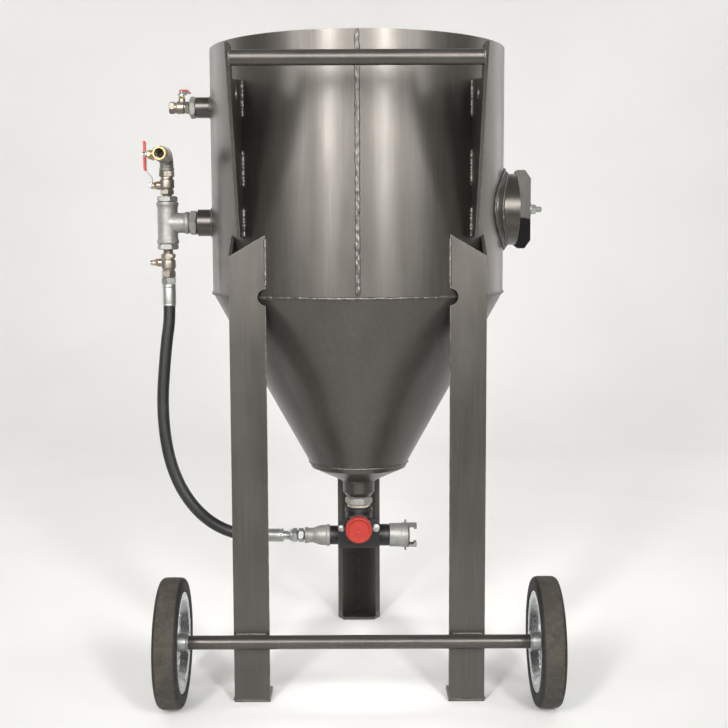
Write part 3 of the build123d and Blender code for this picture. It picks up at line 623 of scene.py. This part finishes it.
class Form:
    """Closed forms gathered for one mesh, in tank millimetres through a local frame."""

    def __init__(self, place=None):
        self.place = place or Matrix.Identity(4)
        self.verts, self.faces, self.kinds = [], [], []

    def loft(self, rings, kind=0, loop=False):
        base, width, count = len(self.verts), len(rings[0]), len(rings)
        for ring in rings:
            self.verts += [self.place @ Vector(p) for p in ring]
        for i in range(count if loop else count - 1):
            a, b = base + i * width, base + (i + 1) % count * width
            for j in range(width):
                k = (j + 1) % width
                self.faces.append((a + j, a + k, b + k, b + j))
                self.kinds.append(kind)
        if not loop:
            self.faces.append(tuple(range(base + width - 1, base - 1, -1)))
            self.faces.append(tuple(range(base + (count - 1) * width, base + count * width)))
            self.kinds += [kind, kind]

    def turn(self, profile, origin=(0, 0, 0), axis=Z, kind=0, loop=False, soft=0.6, segments=48, wave=None):
        """A lathe form from (radius, height) points. wave moves a point by its radius and angle."""
        w = Vector(axis)
        u, v = square_to(axis)
        rings = []
        for r, h in softened(profile, soft, loop):
            ring = []
            for a in angles(segments):
                dr, dh = wave(r, h, a) if wave else (0.0, 0.0)
                ring.append(Vector(origin) + w * (h + dh) + spoke(u, v, a) * max(r + dr, 0.02))
            rings.append(ring)
        self.loft(rings, kind, loop)

    def threaded(self, radius, bore, start, low, high, end, pitch, origin=(0, 0, 0), axis=Z):
        """A tube from start to end with an outside thread from low to high."""
        self.turn([(radius, start)] + thread(radius, low, high, pitch) + [(bore, end), (bore, start)],
                  origin, axis, loop=True, soft=0.0)

    def nut(self, origin, axis, flats, height, bore=0.0, kind=0, turned=0.0):
        """A hexagon with the round chamfer of a turned bar."""
        w = Vector(axis)
        u, v = square_to(axis)
        corner = flats / math.sqrt(3)
        face = 0.475 * flats
        rise = (corner - face) * 0.55
        low = [(rise * t, face + (corner - face) * t) for t in (0.0, 0.35, 0.7, 1.0)]
        high = [(height - h, r) for h, r in reversed(low)]
        rings = []
        for h, limit in low + high:
            ring = []
            for a in angles(60):
                flat = (a % (math.pi / 3)) - math.pi / 6
                r = min(flats / 2 / math.cos(flat), limit)
                ring.append(Vector(origin) + w * h + spoke(u, v, a + turned) * r)
            rings.append(ring)
        if bore:
            for h in (height, height - 0.8, 0.8, 0.0):
                r = bore + (0.7 if h in (0.0, height) else 0.0)
                rings.append([Vector(origin) + w * h + spoke(u, v, a + turned) * r for a in angles(60)])
        self.loft(rings, kind, loop=bool(bore))

    def sweep(self, path, radius, sides, closed=False):
        """A round bar along points; radius is one number or one for each point."""
        path = [Vector(p) for p in path]
        count = len(path)
        normal = None
        rings = []
        for i, here in enumerate(path):
            before = path[i - 1] if closed or i else here
            after = path[(i + 1) % count] if closed or i < count - 1 else here
            tangent = (after - before).normalized()
            if normal is None:
                normal = tangent.orthogonal()
            normal = (normal - tangent * normal.dot(tangent)).normalized()
            side = tangent.cross(normal)
            r = radius[i] if isinstance(radius, list) else radius
            rings.append([here + spoke(normal, side, a) * r for a in angles(sides)])
        self.loft(rings, loop=closed)

    def bead(self, path, radius, seed, closed=False, pitch=3.4):
        """A weld bead: ripples, a slightly wandering line and tapered ends."""
        step = pitch / 4
        points = resampled([Vector(p) for p in path], step, closed)
        radii, moved = [], []
        for i, point in enumerate(points):
            s = i * step
            ripple = abs(math.sin(math.pi * s / pitch))
            rough = noise.noise(Vector((s * 0.11, seed, 3.1)))
            size = radius * (0.88 + 0.13 * ripple + 0.32 * rough)
            if not closed:
                ends = min(i, len(points) - 1 - i)
                size *= (0.35, 0.7, 0.9)[ends] if ends < 3 else 1.0
            sway = Vector([noise.noise(Vector((s * 0.07, seed + 9.0, k * 5.3))) for k in range(3)])
            radii.append(size)
            moved.append(point + sway * radius * 0.28)
        self.sweep(moved, radii, sides=8, closed=closed)

    def slab(self, outline, origin, u, v, thickness, bevel=0.8):
        """A flat plate with bevelled edges; outline is convex, in u and v, and thickness is along u x v."""
        origin, u, v = Vector(origin), Vector(u), Vector(v)
        w = u.cross(v)
        points = softened(outline, 2.0 * bevel, True)
        middle = sum(points, Vector((0, 0))) / len(points)
        inner = [p + (middle - p).normalized() * bevel for p in points]
        rings = []
        for line, h in ((inner, 0), (points, bevel), (points, thickness - bevel), (inner, thickness)):
            rings.append([origin + u * p.x + v * p.y + w * h for p in line])
        self.loft(rings)

    def strap(self, points, kind=0):
        """A bent flat bar in local X and Z. Points are (x, z, thickness, width), smoothly joined."""
        squareness = 0.42
        dense = [Vector(points[0])]
        for a, b, c in zip(points, points[1:], points[2:]):
            a, b, c = Vector(a), Vector(b), Vector(c)
            cut = min(5.0, 0.45 * (a - b).length, 0.45 * (c - b).length)
            start, end = b + (a - b).normalized() * cut, b + (c - b).normalized() * cut
            dense += [start * (1 - t) ** 2 + b * 2 * t * (1 - t) + end * t ** 2
                      for t in (0, 0.25, 0.5, 0.75, 1)]
        dense.append(Vector(points[-1]))
        rings = []
        for i, p in enumerate(dense):
            before, after = dense[max(i - 1, 0)], dense[min(i + 1, len(dense) - 1)]
            along = Vector((after[0] - before[0], 0, after[1] - before[1])).normalized()
            out = Vector((along.z, 0, -along.x))
            ring = []
            for a in angles(24):
                c, s = math.cos(a), math.sin(a)
                across = math.copysign(abs(c) ** squareness, c) * p[3] / 2
                thick = math.copysign(abs(s) ** squareness, s) * p[2] / 2
                ring.append(Vector((p[0], 0, p[1])) + Vector((0, 1, 0)) * across + out * thick)
            rings.append(ring)
        self.loft(rings, kind)

    def mesh(self, name):
        mesh = bpy.data.meshes.new(name)
        mesh.from_pydata([at(*v) for v in self.verts], [], self.faces)
        mesh.polygons.foreach_set("material_index", self.kinds)
        work = bmesh.new()
        work.from_mesh(mesh)
        bmesh.ops.recalc_face_normals(work, faces=work.faces)
        work.to_mesh(mesh)
        work.free()
        return mesh


def resampled(path, step, closed):
    """Points a fixed step apart along a line."""
    if closed:
        path = path + [path[0]]
    lengths = [0.0]
    for a, b in zip(path, path[1:]):
        lengths.append(lengths[-1] + (b - a).length)
    count = max(4, round(lengths[-1] / step))
    out, k = [], 0
    for i in range(count if closed else count + 1):
        s = lengths[-1] * i / count
        while k < len(path) - 2 and lengths[k + 1] < s:
            k += 1
        t = (s - lengths[k]) / max(lengths[k + 1] - lengths[k], 1e-6)
        out.append(path[k].lerp(path[k + 1], t))
    return out


def show(name, shape, looks, body="root", stands_for=(), sharp=34.0):
    """Makes a piece that rides on a body, from a form or a mesh."""
    mesh = shape.mesh(name) if isinstance(shape, Form) else shape
    for look in looks:
        mesh.materials.append(look)
    mesh.shade_smooth()
    mesh.set_sharp_from_angle(angle=math.radians(sharp))
    obj = bpy.data.objects.new(name, mesh)
    scene.collection.objects.link(obj)
    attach(obj, body)
    if stands_for:
        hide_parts(*stands_for)
    return obj


def cast_mesh(form, name, voxel, passes):
    """The forms fused into one skin with soft inside corners, as a casting has."""
    rough = bpy.data.objects.new(name + "_rough", form.mesh(name + "_rough"))
    scene.collection.objects.link(rough)
    fuse = rough.modifiers.new("fuse", "REMESH")
    fuse.mode = "VOXEL"
    fuse.voxel_size = voxel * MM
    relax = rough.modifiers.new("relax", "SMOOTH")
    relax.factor = 0.5
    relax.iterations = passes
    bpy.context.view_layer.update()
    made = bpy.data.meshes.new_from_object(rough.evaluated_get(bpy.context.evaluated_depsgraph_get()))
    made.name = name
    bpy.data.objects.remove(rough)
    return made


def circle(centre, u, v, radius, count=96):
    return [Vector(centre) + spoke(Vector(u), Vector(v), a) * radius for a in angles(count)]


def local_frame(origin, x_dir, z_dir, size):
    """A frame at a point, from the directions of its X and Z, with a scale."""
    x, z = Vector(x_dir), Vector(z_dir)
    place = Matrix((x, z.cross(x), z)).transposed().to_4x4()
    place.translation = Vector(origin)
    return place @ Matrix.Scale(size, 4)


# ---- hose ends

def hose_ends():
    form = Form()
    lower_nut, upper_nut = (-131.0, 0, LINE_Z), (RISER_X, 0, 822)
    form.nut(lower_nut, BACK_X, 27, 11, bore=10.35, turned=0.2)
    form.turn([(12.6, 10.5), (12.6, 13), (11.4, 16), (9.4, 17.5), (9.0, 29), (13.0, 29), (14, 30.5),
               (14, 34), (13.5, 35), (13.5, 36), (14, 37), (14, 66), (13.5, 67), (13.5, 68), (14, 69),
               (14, 70.5), (13.2, 72), (11.0, 72), (6, 71), (6, 10.5)],
              lower_nut, BACK_X, loop=True)
    lower = show("hose_end_lower", form, [zinc], stands_for=["lower_hose_end"])
    form = Form()
    form.turn([(10.3, -16)] + thread(10.3, -15, -1, 1.8) + [(10.3, 0), (6, 0), (6, -16)],
              upper_nut, DOWN, loop=True, soft=0.0)
    form.nut(upper_nut, DOWN, 27, 14, bore=6.05, turned=0.3)
    form.turn([(6, 13.6), (13.0, 13.6), (14, 15.5), (14, 20), (13.5, 21), (13.5, 22), (14, 23), (14, 53),
               (13.5, 54), (13.5, 55), (14, 56), (14, 57.5), (13.2, 59), (6, 59)],
              upper_nut, DOWN, loop=True)
    upper = show("hose_end_upper", form, [zinc], stands_for=["upper_hose_end"])


hose_ends()


# ---- ball valves

# For each valve: the centre of its ball, the directions of its stem and of the flow, the lever's turn
# about the stem in degrees, its size against the 1/2 in pattern, how far its lever is cranked outward
# and the width of the grip.
VALVES = {
    "riser": ((RISER_X, 0, 1012), BACK_X, Z, 0, 1.0, 14.0, 14.5),
    "inlet": ((RISER_X, -66, 1072), BACK_X, BACK_Y, 180, 1.0, 0.0, 14.5),
    "hose": ((RISER_X, 0, 853), BACK_X, DOWN, -90, 1.0, 0.0, 14.5),
    "vent": ((-360, 0, VENT_Z), Z, BACK_X, -90, 0.85, 14.0, 21.0),
}


def valve_body(name, place):
    form = Form(place)
    form.threaded(10.3, 7.6, -34, -33, -16, -16, 1.8)
    form.nut((0, 0, -18.5), Z, 26, 9.5, bore=7.6)
    form.turn([(12.2, -9.4), (12.2, -6.8), (14.2, -5.6), (15, -4), (15, 10.5), (14.2, 12.4), (12.6, 13),
               (12.6, 17.4), (10.3, 17.4), (10.3, 14), (7.6, 14), (7.6, 8.6), (9.6, 6), (11.3, 2.5),
               (11.3, -2.5), (9.6, -6), (7.6, -8.6), (7.6, -9.4)], loop=True, soft=0.9)
    form.nut((0, 0, 17), Z, 27, 13, bore=10.3, turned=math.pi / 6)
    # The port's inner thread takes the near-black third look: painted shade inside the bore.
    form.turn([(10.5, 15.5)] + [(r - 0.7, h) for r, h in thread(10.4, 15.5, 29.0, 1.8)] + [(10.5, 29.0)],
              loop=True, soft=0.0, kind=2)
    form.turn([(9.9, 29.0), (10.4, 30.2), (12.9, 30.2), (13.2, 29.5), (10.6, 29.2)],
              loop=True, soft=0.1, kind=1)
    form.turn([(8.6, 12.0), (8.4, 20.8), (7.4, 22.2), (4.15, 22.2), (4.15, 12.0)], axis=X, loop=True)
    form.nut((22, 0, 0), X, 14, 5, bore=4.15, kind=1, turned=0.3)
    show(f"valve_{name}", form, [nickel, gold, bore],
         stands_for=[f"valve_body_{name}"])


def valve_lever(name, place, crank, grip_width):
    form = Form(place)
    out = 30.75
    bent = out + crank
    bar = grip_width - 2.5
    form.strap([(out, -8, 2.5, 0.6 * bar), (out, -6.4, 2.5, 0.9 * bar), (out, -2, 2.5, bar),
                (out, 16, 2.5, bar), (bent, 32, 2.5, bar), (bent, 87, 2.5, bar),
                (bent, 88, 2.3, 0.9 * bar)])
    form.strap([(out + crank * 0.86, 30, 4.6, 0.94 * grip_width),
                (out + crank * 0.9, 31, 5.5, grip_width), (bent, 34, 5.5, grip_width),
                (bent, 87, 5.5, grip_width), (bent, 89.6, 5.2, 0.94 * grip_width),
                (bent, 91, 3.2, 0.7 * grip_width)], kind=1)
    show(f"lever_{name}_handle", form, [zinc, grip],
         body=f"{name}_lever", stands_for=[f"lever_{name}"], sharp=50)


for valve, (stem_at, stem_dir, flow_dir, lever_turn, size, crank, grip_width) in VALVES.items():
    valve_frame = local_frame(stem_at, stem_dir, flow_dir, size)
    valve_body(valve, valve_frame)
    valve_lever(valve, valve_frame @ Matrix.Rotation(math.radians(lever_turn), 4, "X"), crank, grip_width)


# ---- screwed pipe fittings

def tee():
    low, high, branch = INLET_Z - 43, INLET_Z + 43, -349.0
    form = Form()
    form.turn([(0, low), (22.2, low), (22.9, low + 1), (22.9, low + 7), (21.3, low + 9), (21.0, low + 14),
               (21.0, high - 14), (21.3, high - 9), (22.9, high - 7), (22.9, high - 1), (22.2, high),
               (0, high)], (RISER_X, 0, 0), soft=1.2)
    length = branch - RISER_X
    form.turn([(0, 0), (20.6, 0), (20.6, length - 13), (21.3, length - 9), (22.9, length - 7),
               (22.9, length - 1), (22.2, length), (0, length)], (RISER_X, 0, INLET_Z), X, soft=1.2)
    show("tee_casting", cast_mesh(form, "tee_casting", 0.9, 5), [zinc_cast],
         stands_for=["pipe_tee"], sharp=60)


def elbow():
    top, face = 1072.0, -44.0
    form = Form()
    path = [(RISER_X, 0, 1042), (RISER_X, 0, 1053)]
    for i in range(9):
        a = math.radians(11.25 * i)
        path.append((RISER_X, -19 + 19 * math.cos(a), 1053 + 19 * math.sin(a)))
    path.append((RISER_X, face + 1, top))
    form.sweep(path, 14.2, sides=40)
    form.turn([(0, 0), (15.2, 0), (15.6, 1), (15.2, 5), (14, 7), (0, 7)], (RISER_X, 0, 1042), soft=1.0)
    form.turn([(0, 0), (16.2, 0), (17, 1), (17, 10), (15.6, 12.5), (14, 15), (0, 15)],
              (RISER_X, face, top), Y, soft=1.0)
    show("elbow_casting", cast_mesh(form, "elbow_casting", 0.8, 5), [zinc_cast],
         stands_for=["pipe_elbow"], sharp=60)


def screwed_pieces():
    form = Form()
    line = (0, 0, INLET_Z)
    form.threaded(16.8, 13.3, -365, -364, -346, -346, 2.3, line, X)
    form.nut((-347, 0, INLET_Z), X, 46, 15, bore=13.3, turned=0.1)
    form.threaded(16.8, 13.3, -332.5, -332, -316, -316, 2.3, line, X)
    for face_z, outward, turned in ((INLET_Z + 43, Z, 0.12), (INLET_Z - 43, DOWN, -0.2)):
        form.nut((RISER_X, 0, face_z), outward, 38, 12, bore=10.35, turned=turned)
        form.threaded(16.8, 10.35, -16, -15, 0, 0.5, 2.3, (RISER_X, 0, face_z), outward)
    vent_bushing = (-331, 0, VENT_Z)
    form.nut(vent_bushing, BACK_X, 39, 12, bore=8.8, turned=0.05)
    form.turn([(10.3, -14), (10.3, 0.5), (6.6, 0.5), (6.6, -14)], vent_bushing, BACK_X, loop=True, soft=0.3)
    form.turn([(16.9, 0), (18.6, 0.2), (18.9, 0.9), (18.6, 1.7), (16.9, 1.8)], (-348.9, 0, INLET_Z), X,
              kind=1, loop=True, soft=0.2, segments=96, wave=shaggy)
    show("screwed_galvanised", form, [zinc_cast, flax],
         stands_for=["inlet_nipple", "reducing_bushings"])

    form = Form()
    form.threaded(10.3, 6.5, -26, -25, 15, 16, 1.8, (-117, 0, LINE_Z), X)
    form.nut((-117, 0, LINE_Z), BACK_X, 26, 12, bore=10.2, turned=0.5)
    show("hose_nipple_plated", form, [zinc], stands_for=["hose_nipple"])


def shaggy(r, h, a):
    """Loose ends of the fibre wound on a thread."""
    spot = Vector((math.cos(a) * 2.2, math.sin(a) * 2.2, h * 0.45))
    return (1.6 * noise.noise(spot) + 0.6 * noise.noise(spot * 4.1), 0.5 * noise.noise(spot * 2.7 + spot))


def outlet_pieces():
    form = Form()
    form.threaded(21, 16, 320, 321, 342, 342, 2.3)
    form.nut((0, 0, 341), Z, 50, 15, bore=16, turned=0.16)
    form.threaded(21, 16, 355, 356, 379, 380, 2.3)
    form.turn([(21.2, 334.6), (22.6, 335), (24.4, 336.6), (24.8, 339), (24.2, 340.7), (21.2, 341.2)],
              kind=1, loop=True, soft=0.6, segments=120, wave=shaggy)
    form.turn([(21.2, 356.2), (22.8, 356.6), (23.2, 357.8), (22.2, 358.8), (21.2, 358.8)],
              kind=1, loop=True, soft=0.3, segments=120, wave=shaggy)
    show("outlet_nipple_sealed", form, [zinc_cast, flax],
         stands_for=["outlet_nipple"])


def bell_reducer():
    form = Form()
    form.turn([(15.3, 0), (22.2, 0), (23, 0.8), (23, 5.6), (21.6, 7.2), (21.4, 14), (20.6, 21),
               (18.4, 28), (16.1, 33), (15.5, 36), (15.5, 45), (16.9, 46.6), (17, 52.2), (16.4, 53),
               (10.35, 53), (10.35, 22), (15.3, 22)],
              (-62, 0, LINE_Z), BACK_X, loop=True, soft=1.1, segments=64)
    form.turn([(20.1, -0.4), (20.9, -0.2), (21.4, 0.6), (21.4, 1.4), (20.1, 1.4)], (-62.6, 0, LINE_Z), X,
              kind=1, loop=True, soft=0.2, segments=96, wave=shaggy)
    show("bell_reducer", form, [zinc_cast, flax], stands_for=["air_reducer"],
         sharp=50)


tee()
elbow()
screwed_pieces()
outlet_pieces()
bell_reducer()


# ---- metering valve

def metering_casting():
    form = Form()
    form.turn([(0, 249), (17, 249), (24, 252), (28, 260), (28, 322), (29.5, 324), (29.5, 332),
               (28.5, 334), (0, 334)], soft=1.6)
    form.turn([(0, 0), (23, 0), (23, 107), (21.5, 108), (0, 108)], (-43, 0, LINE_Z), X, soft=1.2)
    form.turn([(0, 0), (19, 0), (20, 1), (20, 24), (0, 24)], (-62, 0, LINE_Z), X, soft=1.0)
    form.turn([(0, 0), (22, 0), (22, 60), (20, 62), (0, 62)], (0, -34, METER_Z), Y, soft=1.2)
    form.slab([(-43, 256), (43, 256), (43, 316), (-43, 316)], (0, -26, 0), X, Z, 8.0)
    mesh = cast_mesh(form, "metering_casting", 1.0, 4)
    show("metering_casting", mesh, [iron], stands_for=["metering_body"], sharp=60)

    form = Form()
    plate = [(-43, 258), (-41, 256), (41, 256), (43, 258), (43, 309), (38, 316), (-41, 316), (-43, 313)]
    form.slab(plate, (0, -34.3, 0), X, Z, 11.7, bevel=1.0)
    form.turn([(0, 0), (15.5, 0), (14, 2.4), (14, 12), (13, 15), (8.4, 15), (8.4, 0)],
              (0, -46, METER_Z), BACK_Y)
    show("bonnet_plate", form, [iron], stands_for=["metering_bonnet"])

    form = Form()
    form.turn([(0, 0), (7.3, 0), (7.5, 1), (7.2, 4.4), (5.6, 6.2), (2.5, 6.9), (0, 7)],
              (-36, -46, 299), BACK_Y, soft=0.8)
    form.turn([(0, 0), (8.2, 0), (8.2, 1.2), (0, 1.2)], (36, -46, 299), BACK_Y, soft=0.3)
    form.nut((36, -47, 299), BACK_Y, 13, 6, turned=0.15)
    show("bonnet_screws", form, [zinc], stands_for=["bonnet_bolts"])


def knob():
    """Ribbed hand knob with a raised rim round its dished face."""
    def ribs(r, h, a):
        """Twelve grooves round the rim, behind the face."""
        rim, face, depth = 22.0, 4.5, 1.5
        if r < rim or h < face:
            return (0.0, 0.0)
        return (-depth * max(0.0, math.cos(12 * a)) ** 3, 0.0)

    form = Form()
    form.turn([(0, 3.0), (2.0, 2.8), (2.6, 1.9), (3.6, 1.7), (18.6, 2.9), (21.0, 2.6), (22.4, 0.6),
               (23.8, 0.0), (25.6, 0.4), (27.1, 2.2), (27.5, 4.4), (27.5, 19.5), (26, 23.5), (19, 29.4),
               (17, 30), (8.35, 30), (8.35, 5), (0, 5)],
              (0, -92, METER_Z), Y, soft=0.8, segments=144, wave=ribs)
    show("control_knob", form, [knob_red], body="knob",
         stands_for=["metering_knob"], sharp=60)


metering_casting()
knob()


# ---- blast coupling

def coupling():
    form = Form()
    start = (65, 0, LINE_Z)
    form.turn([(15.3, -16), (15.3, 0), (24.2, 0), (25, 0.8), (25, 25), (26, 26.4), (26, 39.4), (25.4, 40),
               (21.6, 40), (21, 39), (21, 34), (12.5, 34), (12.5, -16)],
              start, X, loop=True, soft=0.8, segments=72)
    for side in (-1, 1):
        rings = []
        claw = softened([(21.5, 37), (26, 37), (26, 56.8), (25.4, 58), (17.6, 58), (17, 57.2), (17, 52),
                         (21.5, 52)], 0.9, True)
        for i in range(17):
            a = math.radians(90 * side - 32 + 4 * i)
            rings.append([Vector(start) + Vector((h, math.cos(a) * r, math.sin(a) * r)) for r, h in claw])
        form.loft(rings)
        form.turn([(0, 0), (2.2, 0), (2.2, 8.4), (1.6, 9), (0, 9)],
                  (99, 0, LINE_Z + side * 24), (0, 0, side), soft=0.4)
    show("claw_coupling_cast", form, [zinc_cast],
         stands_for=["claw_coupling"])


coupling()


# ---- wheels

def wheel(name, side):
    centre_at = (side * WHEEL_X, AXLE_Y, WHEEL_R)
    outward = (side, 0, 0)
    form = Form()
    tread_line = [(97.6, -19), (98.4, -20), (100.6, -22.6), (103, -23), (117.6, -23), (120.6, -21.9),
                  (123.2, -19.4), (124.6, -15.6), (125, -8), (125, 8), (124.6, 15.6), (123.2, 19.4),
                  (120.6, 21.9), (117.6, 23), (103, 23), (100.6, 22.6), (98.4, 20), (97.6, 19), (87, 19),
                  (87, -19)]
    form.turn(tread_line, centre_at, outward, loop=True, soft=1.8, segments=128)
    mesh = form.mesh(f"tyre_{name}_rubber")
    middle = at(*centre_at)
    tread_from, tread_half = 0.1222, 0.0172
    for face in mesh.polygons:
        off = face.center - middle
        if math.hypot(off.y, off.z) < tread_from or abs(off.x) > tread_half:
            face.material_index = 1
    show(f"tyre_{name}_rubber", mesh, [tread, sidewall], body=f"wheel_{name}",
         stands_for=[f"tyre_{name}"], sharp=60)

    def pressed(r, h, a):
        """Six swellings pressed into each disc."""
        middle_r, half_width, height = 47.0, 24.0, 6.0
        band = max(0.0, 1.0 - ((r - middle_r) / half_width) ** 2)
        return (0.0, math.copysign(height * band * max(0.0, -math.cos(6 * a)) ** 1.5, h))

    form = Form()
    for face in (-1, 1):
        line = [(17.5, 5.0), (19.5, 3.1)] + [(r, 2.5) for r in (23, 29, 35, 41, 47, 53, 59, 65)]
        line += [(69, 2.9), (72, 5.2), (81, 17.8), (83, 20.4), (86, 21.5), (95.8, 21.5), (97, 20.9)]
        line += [(97, 19), (87, 19), (84.2, 17.2), (73, 1.6)]
        line += [(r, 0.4) for r in (69, 65, 59, 53, 47, 41, 35, 29, 23, 17.5)]
        form.turn([(r, face * h) for r, h in line], centre_at, outward,
                  loop=True, soft=0.7, segments=120, wave=pressed)
    u, v = square_to(outward)
    for i in range(6):
        spot = Vector(centre_at) + spoke(u, v, math.radians(60 * i)) * 58
        for away in (BACK_X, X):
            face_at = spot + Vector(away) * 2.5
            form.turn([(0, 0), (8.4, 0), (8.4, 1.2), (0, 1.2)], face_at, away, soft=0.3, segments=32)
            form.nut(face_at + Vector(away) * 1.1, away, 13, 4.4, turned=0.4 * i)
            form.turn([(0, 0), (4, 0), (4, 6.4), (3.4, 7), (0, 7)], face_at, away, soft=0.3, segments=24)
    form.turn([(10.1, -27), (16.8, -27), (17.5, -26.3), (17.5, 26.3), (16.8, 27), (10.1, 27)],
              centre_at, outward, kind=1, loop=True, soft=0.5)
    show(f"wheel_{name}_discs", form, [zinc_sheet, zinc],
         body=f"wheel_{name}", stands_for=[f"wheel_centre_{name}"], sharp=30)


wheel("left", -1)
wheel("right", 1)


# ---- hand hole

def ellipse_ring(half_y, half_z, x):
    return [Vector((x, half_y * math.cos(a), HATCH_Z + half_z * math.sin(a))) for a in angles(96)]


def hand_hole():
    form = Form()
    form.loft([ellipse_ring(*sizes) for sizes in
               ((94, 69, 250), (96.4, 71.4, 250.6), (97, 72, 252), (97, 72, 260.6), (96, 71, 262))])
    form.turn([(0, 0), (16, 0), (16, 6.6), (14.6, 8), (0, 8)], (262, 0, HATCH_Z), X, soft=0.8)
    stud = [(0, 262), (6, 262), (6, 322)] + thread(6, 324, 379, 1.75, 0.7)[:-1]
    stud += [(5.3, 380), (4.6, 381), (0, 381)]
    form.turn(stud, (0, 0, HATCH_Z), X, kind=1, soft=0.0)
    show("hatch_cover_stud", form, [paint, zinc], stands_for=["hatch_cover"])

    form = Form()
    form.nut((358.5, 0, HATCH_Z), X, 19, 10.5, bore=6.1, turned=0.2)
    show("hatch_nut_plated", form, [zinc], body="nut",
         stands_for=["hatch_nut"])


hand_hole()


# ---- welds

def on_shell(radius, y, z, side):
    """A point of a cylinder about the tank's axis, at one side."""
    return Vector((side * math.sqrt(radius ** 2 - y ** 2), y, z))


def shell_oval(radius, half_y, half_z, z, side, count):
    """An oval laid on a cylinder about the tank's axis."""
    return [on_shell(radius, half_y * math.cos(a), z + half_z * math.sin(a), side) for a in angles(count)]


def tank_welds():
    form = Form()
    form.bead(circle((0, 0, GIRTH_Z), X, Y, TANK_R - 1.4, 240), 3.4, closed=True, pitch=5.5, seed=1.0)
    front = -TANK_R + 1.6
    for x, seed in ((-1.6, 2.0), (1.6, 3.0)):
        form.bead([(x, front, GIRTH_Z + 3), (x, front, RIM_Z - 0.5)], 4.1, pitch=17.0, seed=seed)
    form.bead(circle((0, 0, 434), X, Y, 102.4, 160), 2.8, closed=True, seed=4.0)
    form.bead(circle((0, 0, 392.6), X, Y, 33.4), 2.6, closed=True, seed=5.0)
    form.bead(circle((0, 0, 1246.6), X, Y, 293.4, 240), 2.8, closed=True, seed=6.0)
    form.bead([(0, 299.2, GIRTH_Z - 4), (0, 103.6, 438)], 3.4, seed=7.0)
    show("weld_tank", form, [weld], sharp=70)


def fitting_welds():
    form = Form()
    for radius, z, seed in ((28.2, INLET_Z, 11.0), (21.7, VENT_Z, 12.0)):
        form.bead(shell_oval(TANK_R + 0.6, radius, radius, z, -1, 72), 3.0, closed=True, seed=seed)
    form.bead(shell_oval(TANK_R + 6.6, 99, 74, HATCH_Z, 1, 144), 3.6, closed=True, seed=13.0)
    form.bead(shell_oval(TANK_R + 1.4, 131.4, 81.4, HATCH_Z, 1, 144), 3.4, closed=True, seed=14.0)
    show("weld_fittings", form, [weld], sharp=70)


def frame_welds():
    form = Form()
    leg_low, leg_high = 812, 905
    seed = 20.0
    for side in (-1, 1):
        for x, y in ((174.6, -243.0), (243.0, -174.6)):
            form.bead([(side * x, y, leg_low), (side * x, y, leg_high)], 3.3, seed=seed)
            seed += 1.0
        inward = Vector((-side * 1.2, -0.6, 0))
        for low, high in ((1130, 1202), (1000, 1070), (903, 962)):
            form.bead([on_shell(TANK_R + 0.8, -206.6, z, side) + inward for z in (low, high)],
                      4.4, pitch=6.5, seed=seed)
            form.bead([(side * 224.8, -201.6, low + 14), (side * 224.8, -201.6, high - 10)], 3.4,
                      seed=seed + 0.5)
            seed += 1.0
        for z in (WHEEL_R + 12.6, WHEEL_R - 12.6):
            form.bead([(side * 180, -246.6, z), (side * 240, -246.6, z)], 3.2, seed=seed)
            seed += 1.0
        form.bead(circle((side * 216.6, -440, 1210), Y, Z, 12.4, 48), 2.2, closed=True, seed=seed)
        seed += 1.0
        for x, y, end_x, end_y in ((177, -244.8, 241, -244.8), (244.8, -241, 244.8, -177)):
            form.bead([(side * x, y, 3.5), (side * end_x, end_y, 3.5)], 2.2, seed=seed)
            seed += 1.0
        form.bead([(side * 50.4, 297.6, leg_low), (side * 50.4, 297.6, leg_high)], 3.3, seed=seed)
        seed += 1.0
    show("weld_frame", form, [weld], sharp=70)


tank_welds()
fitting_welds()
frame_welds()
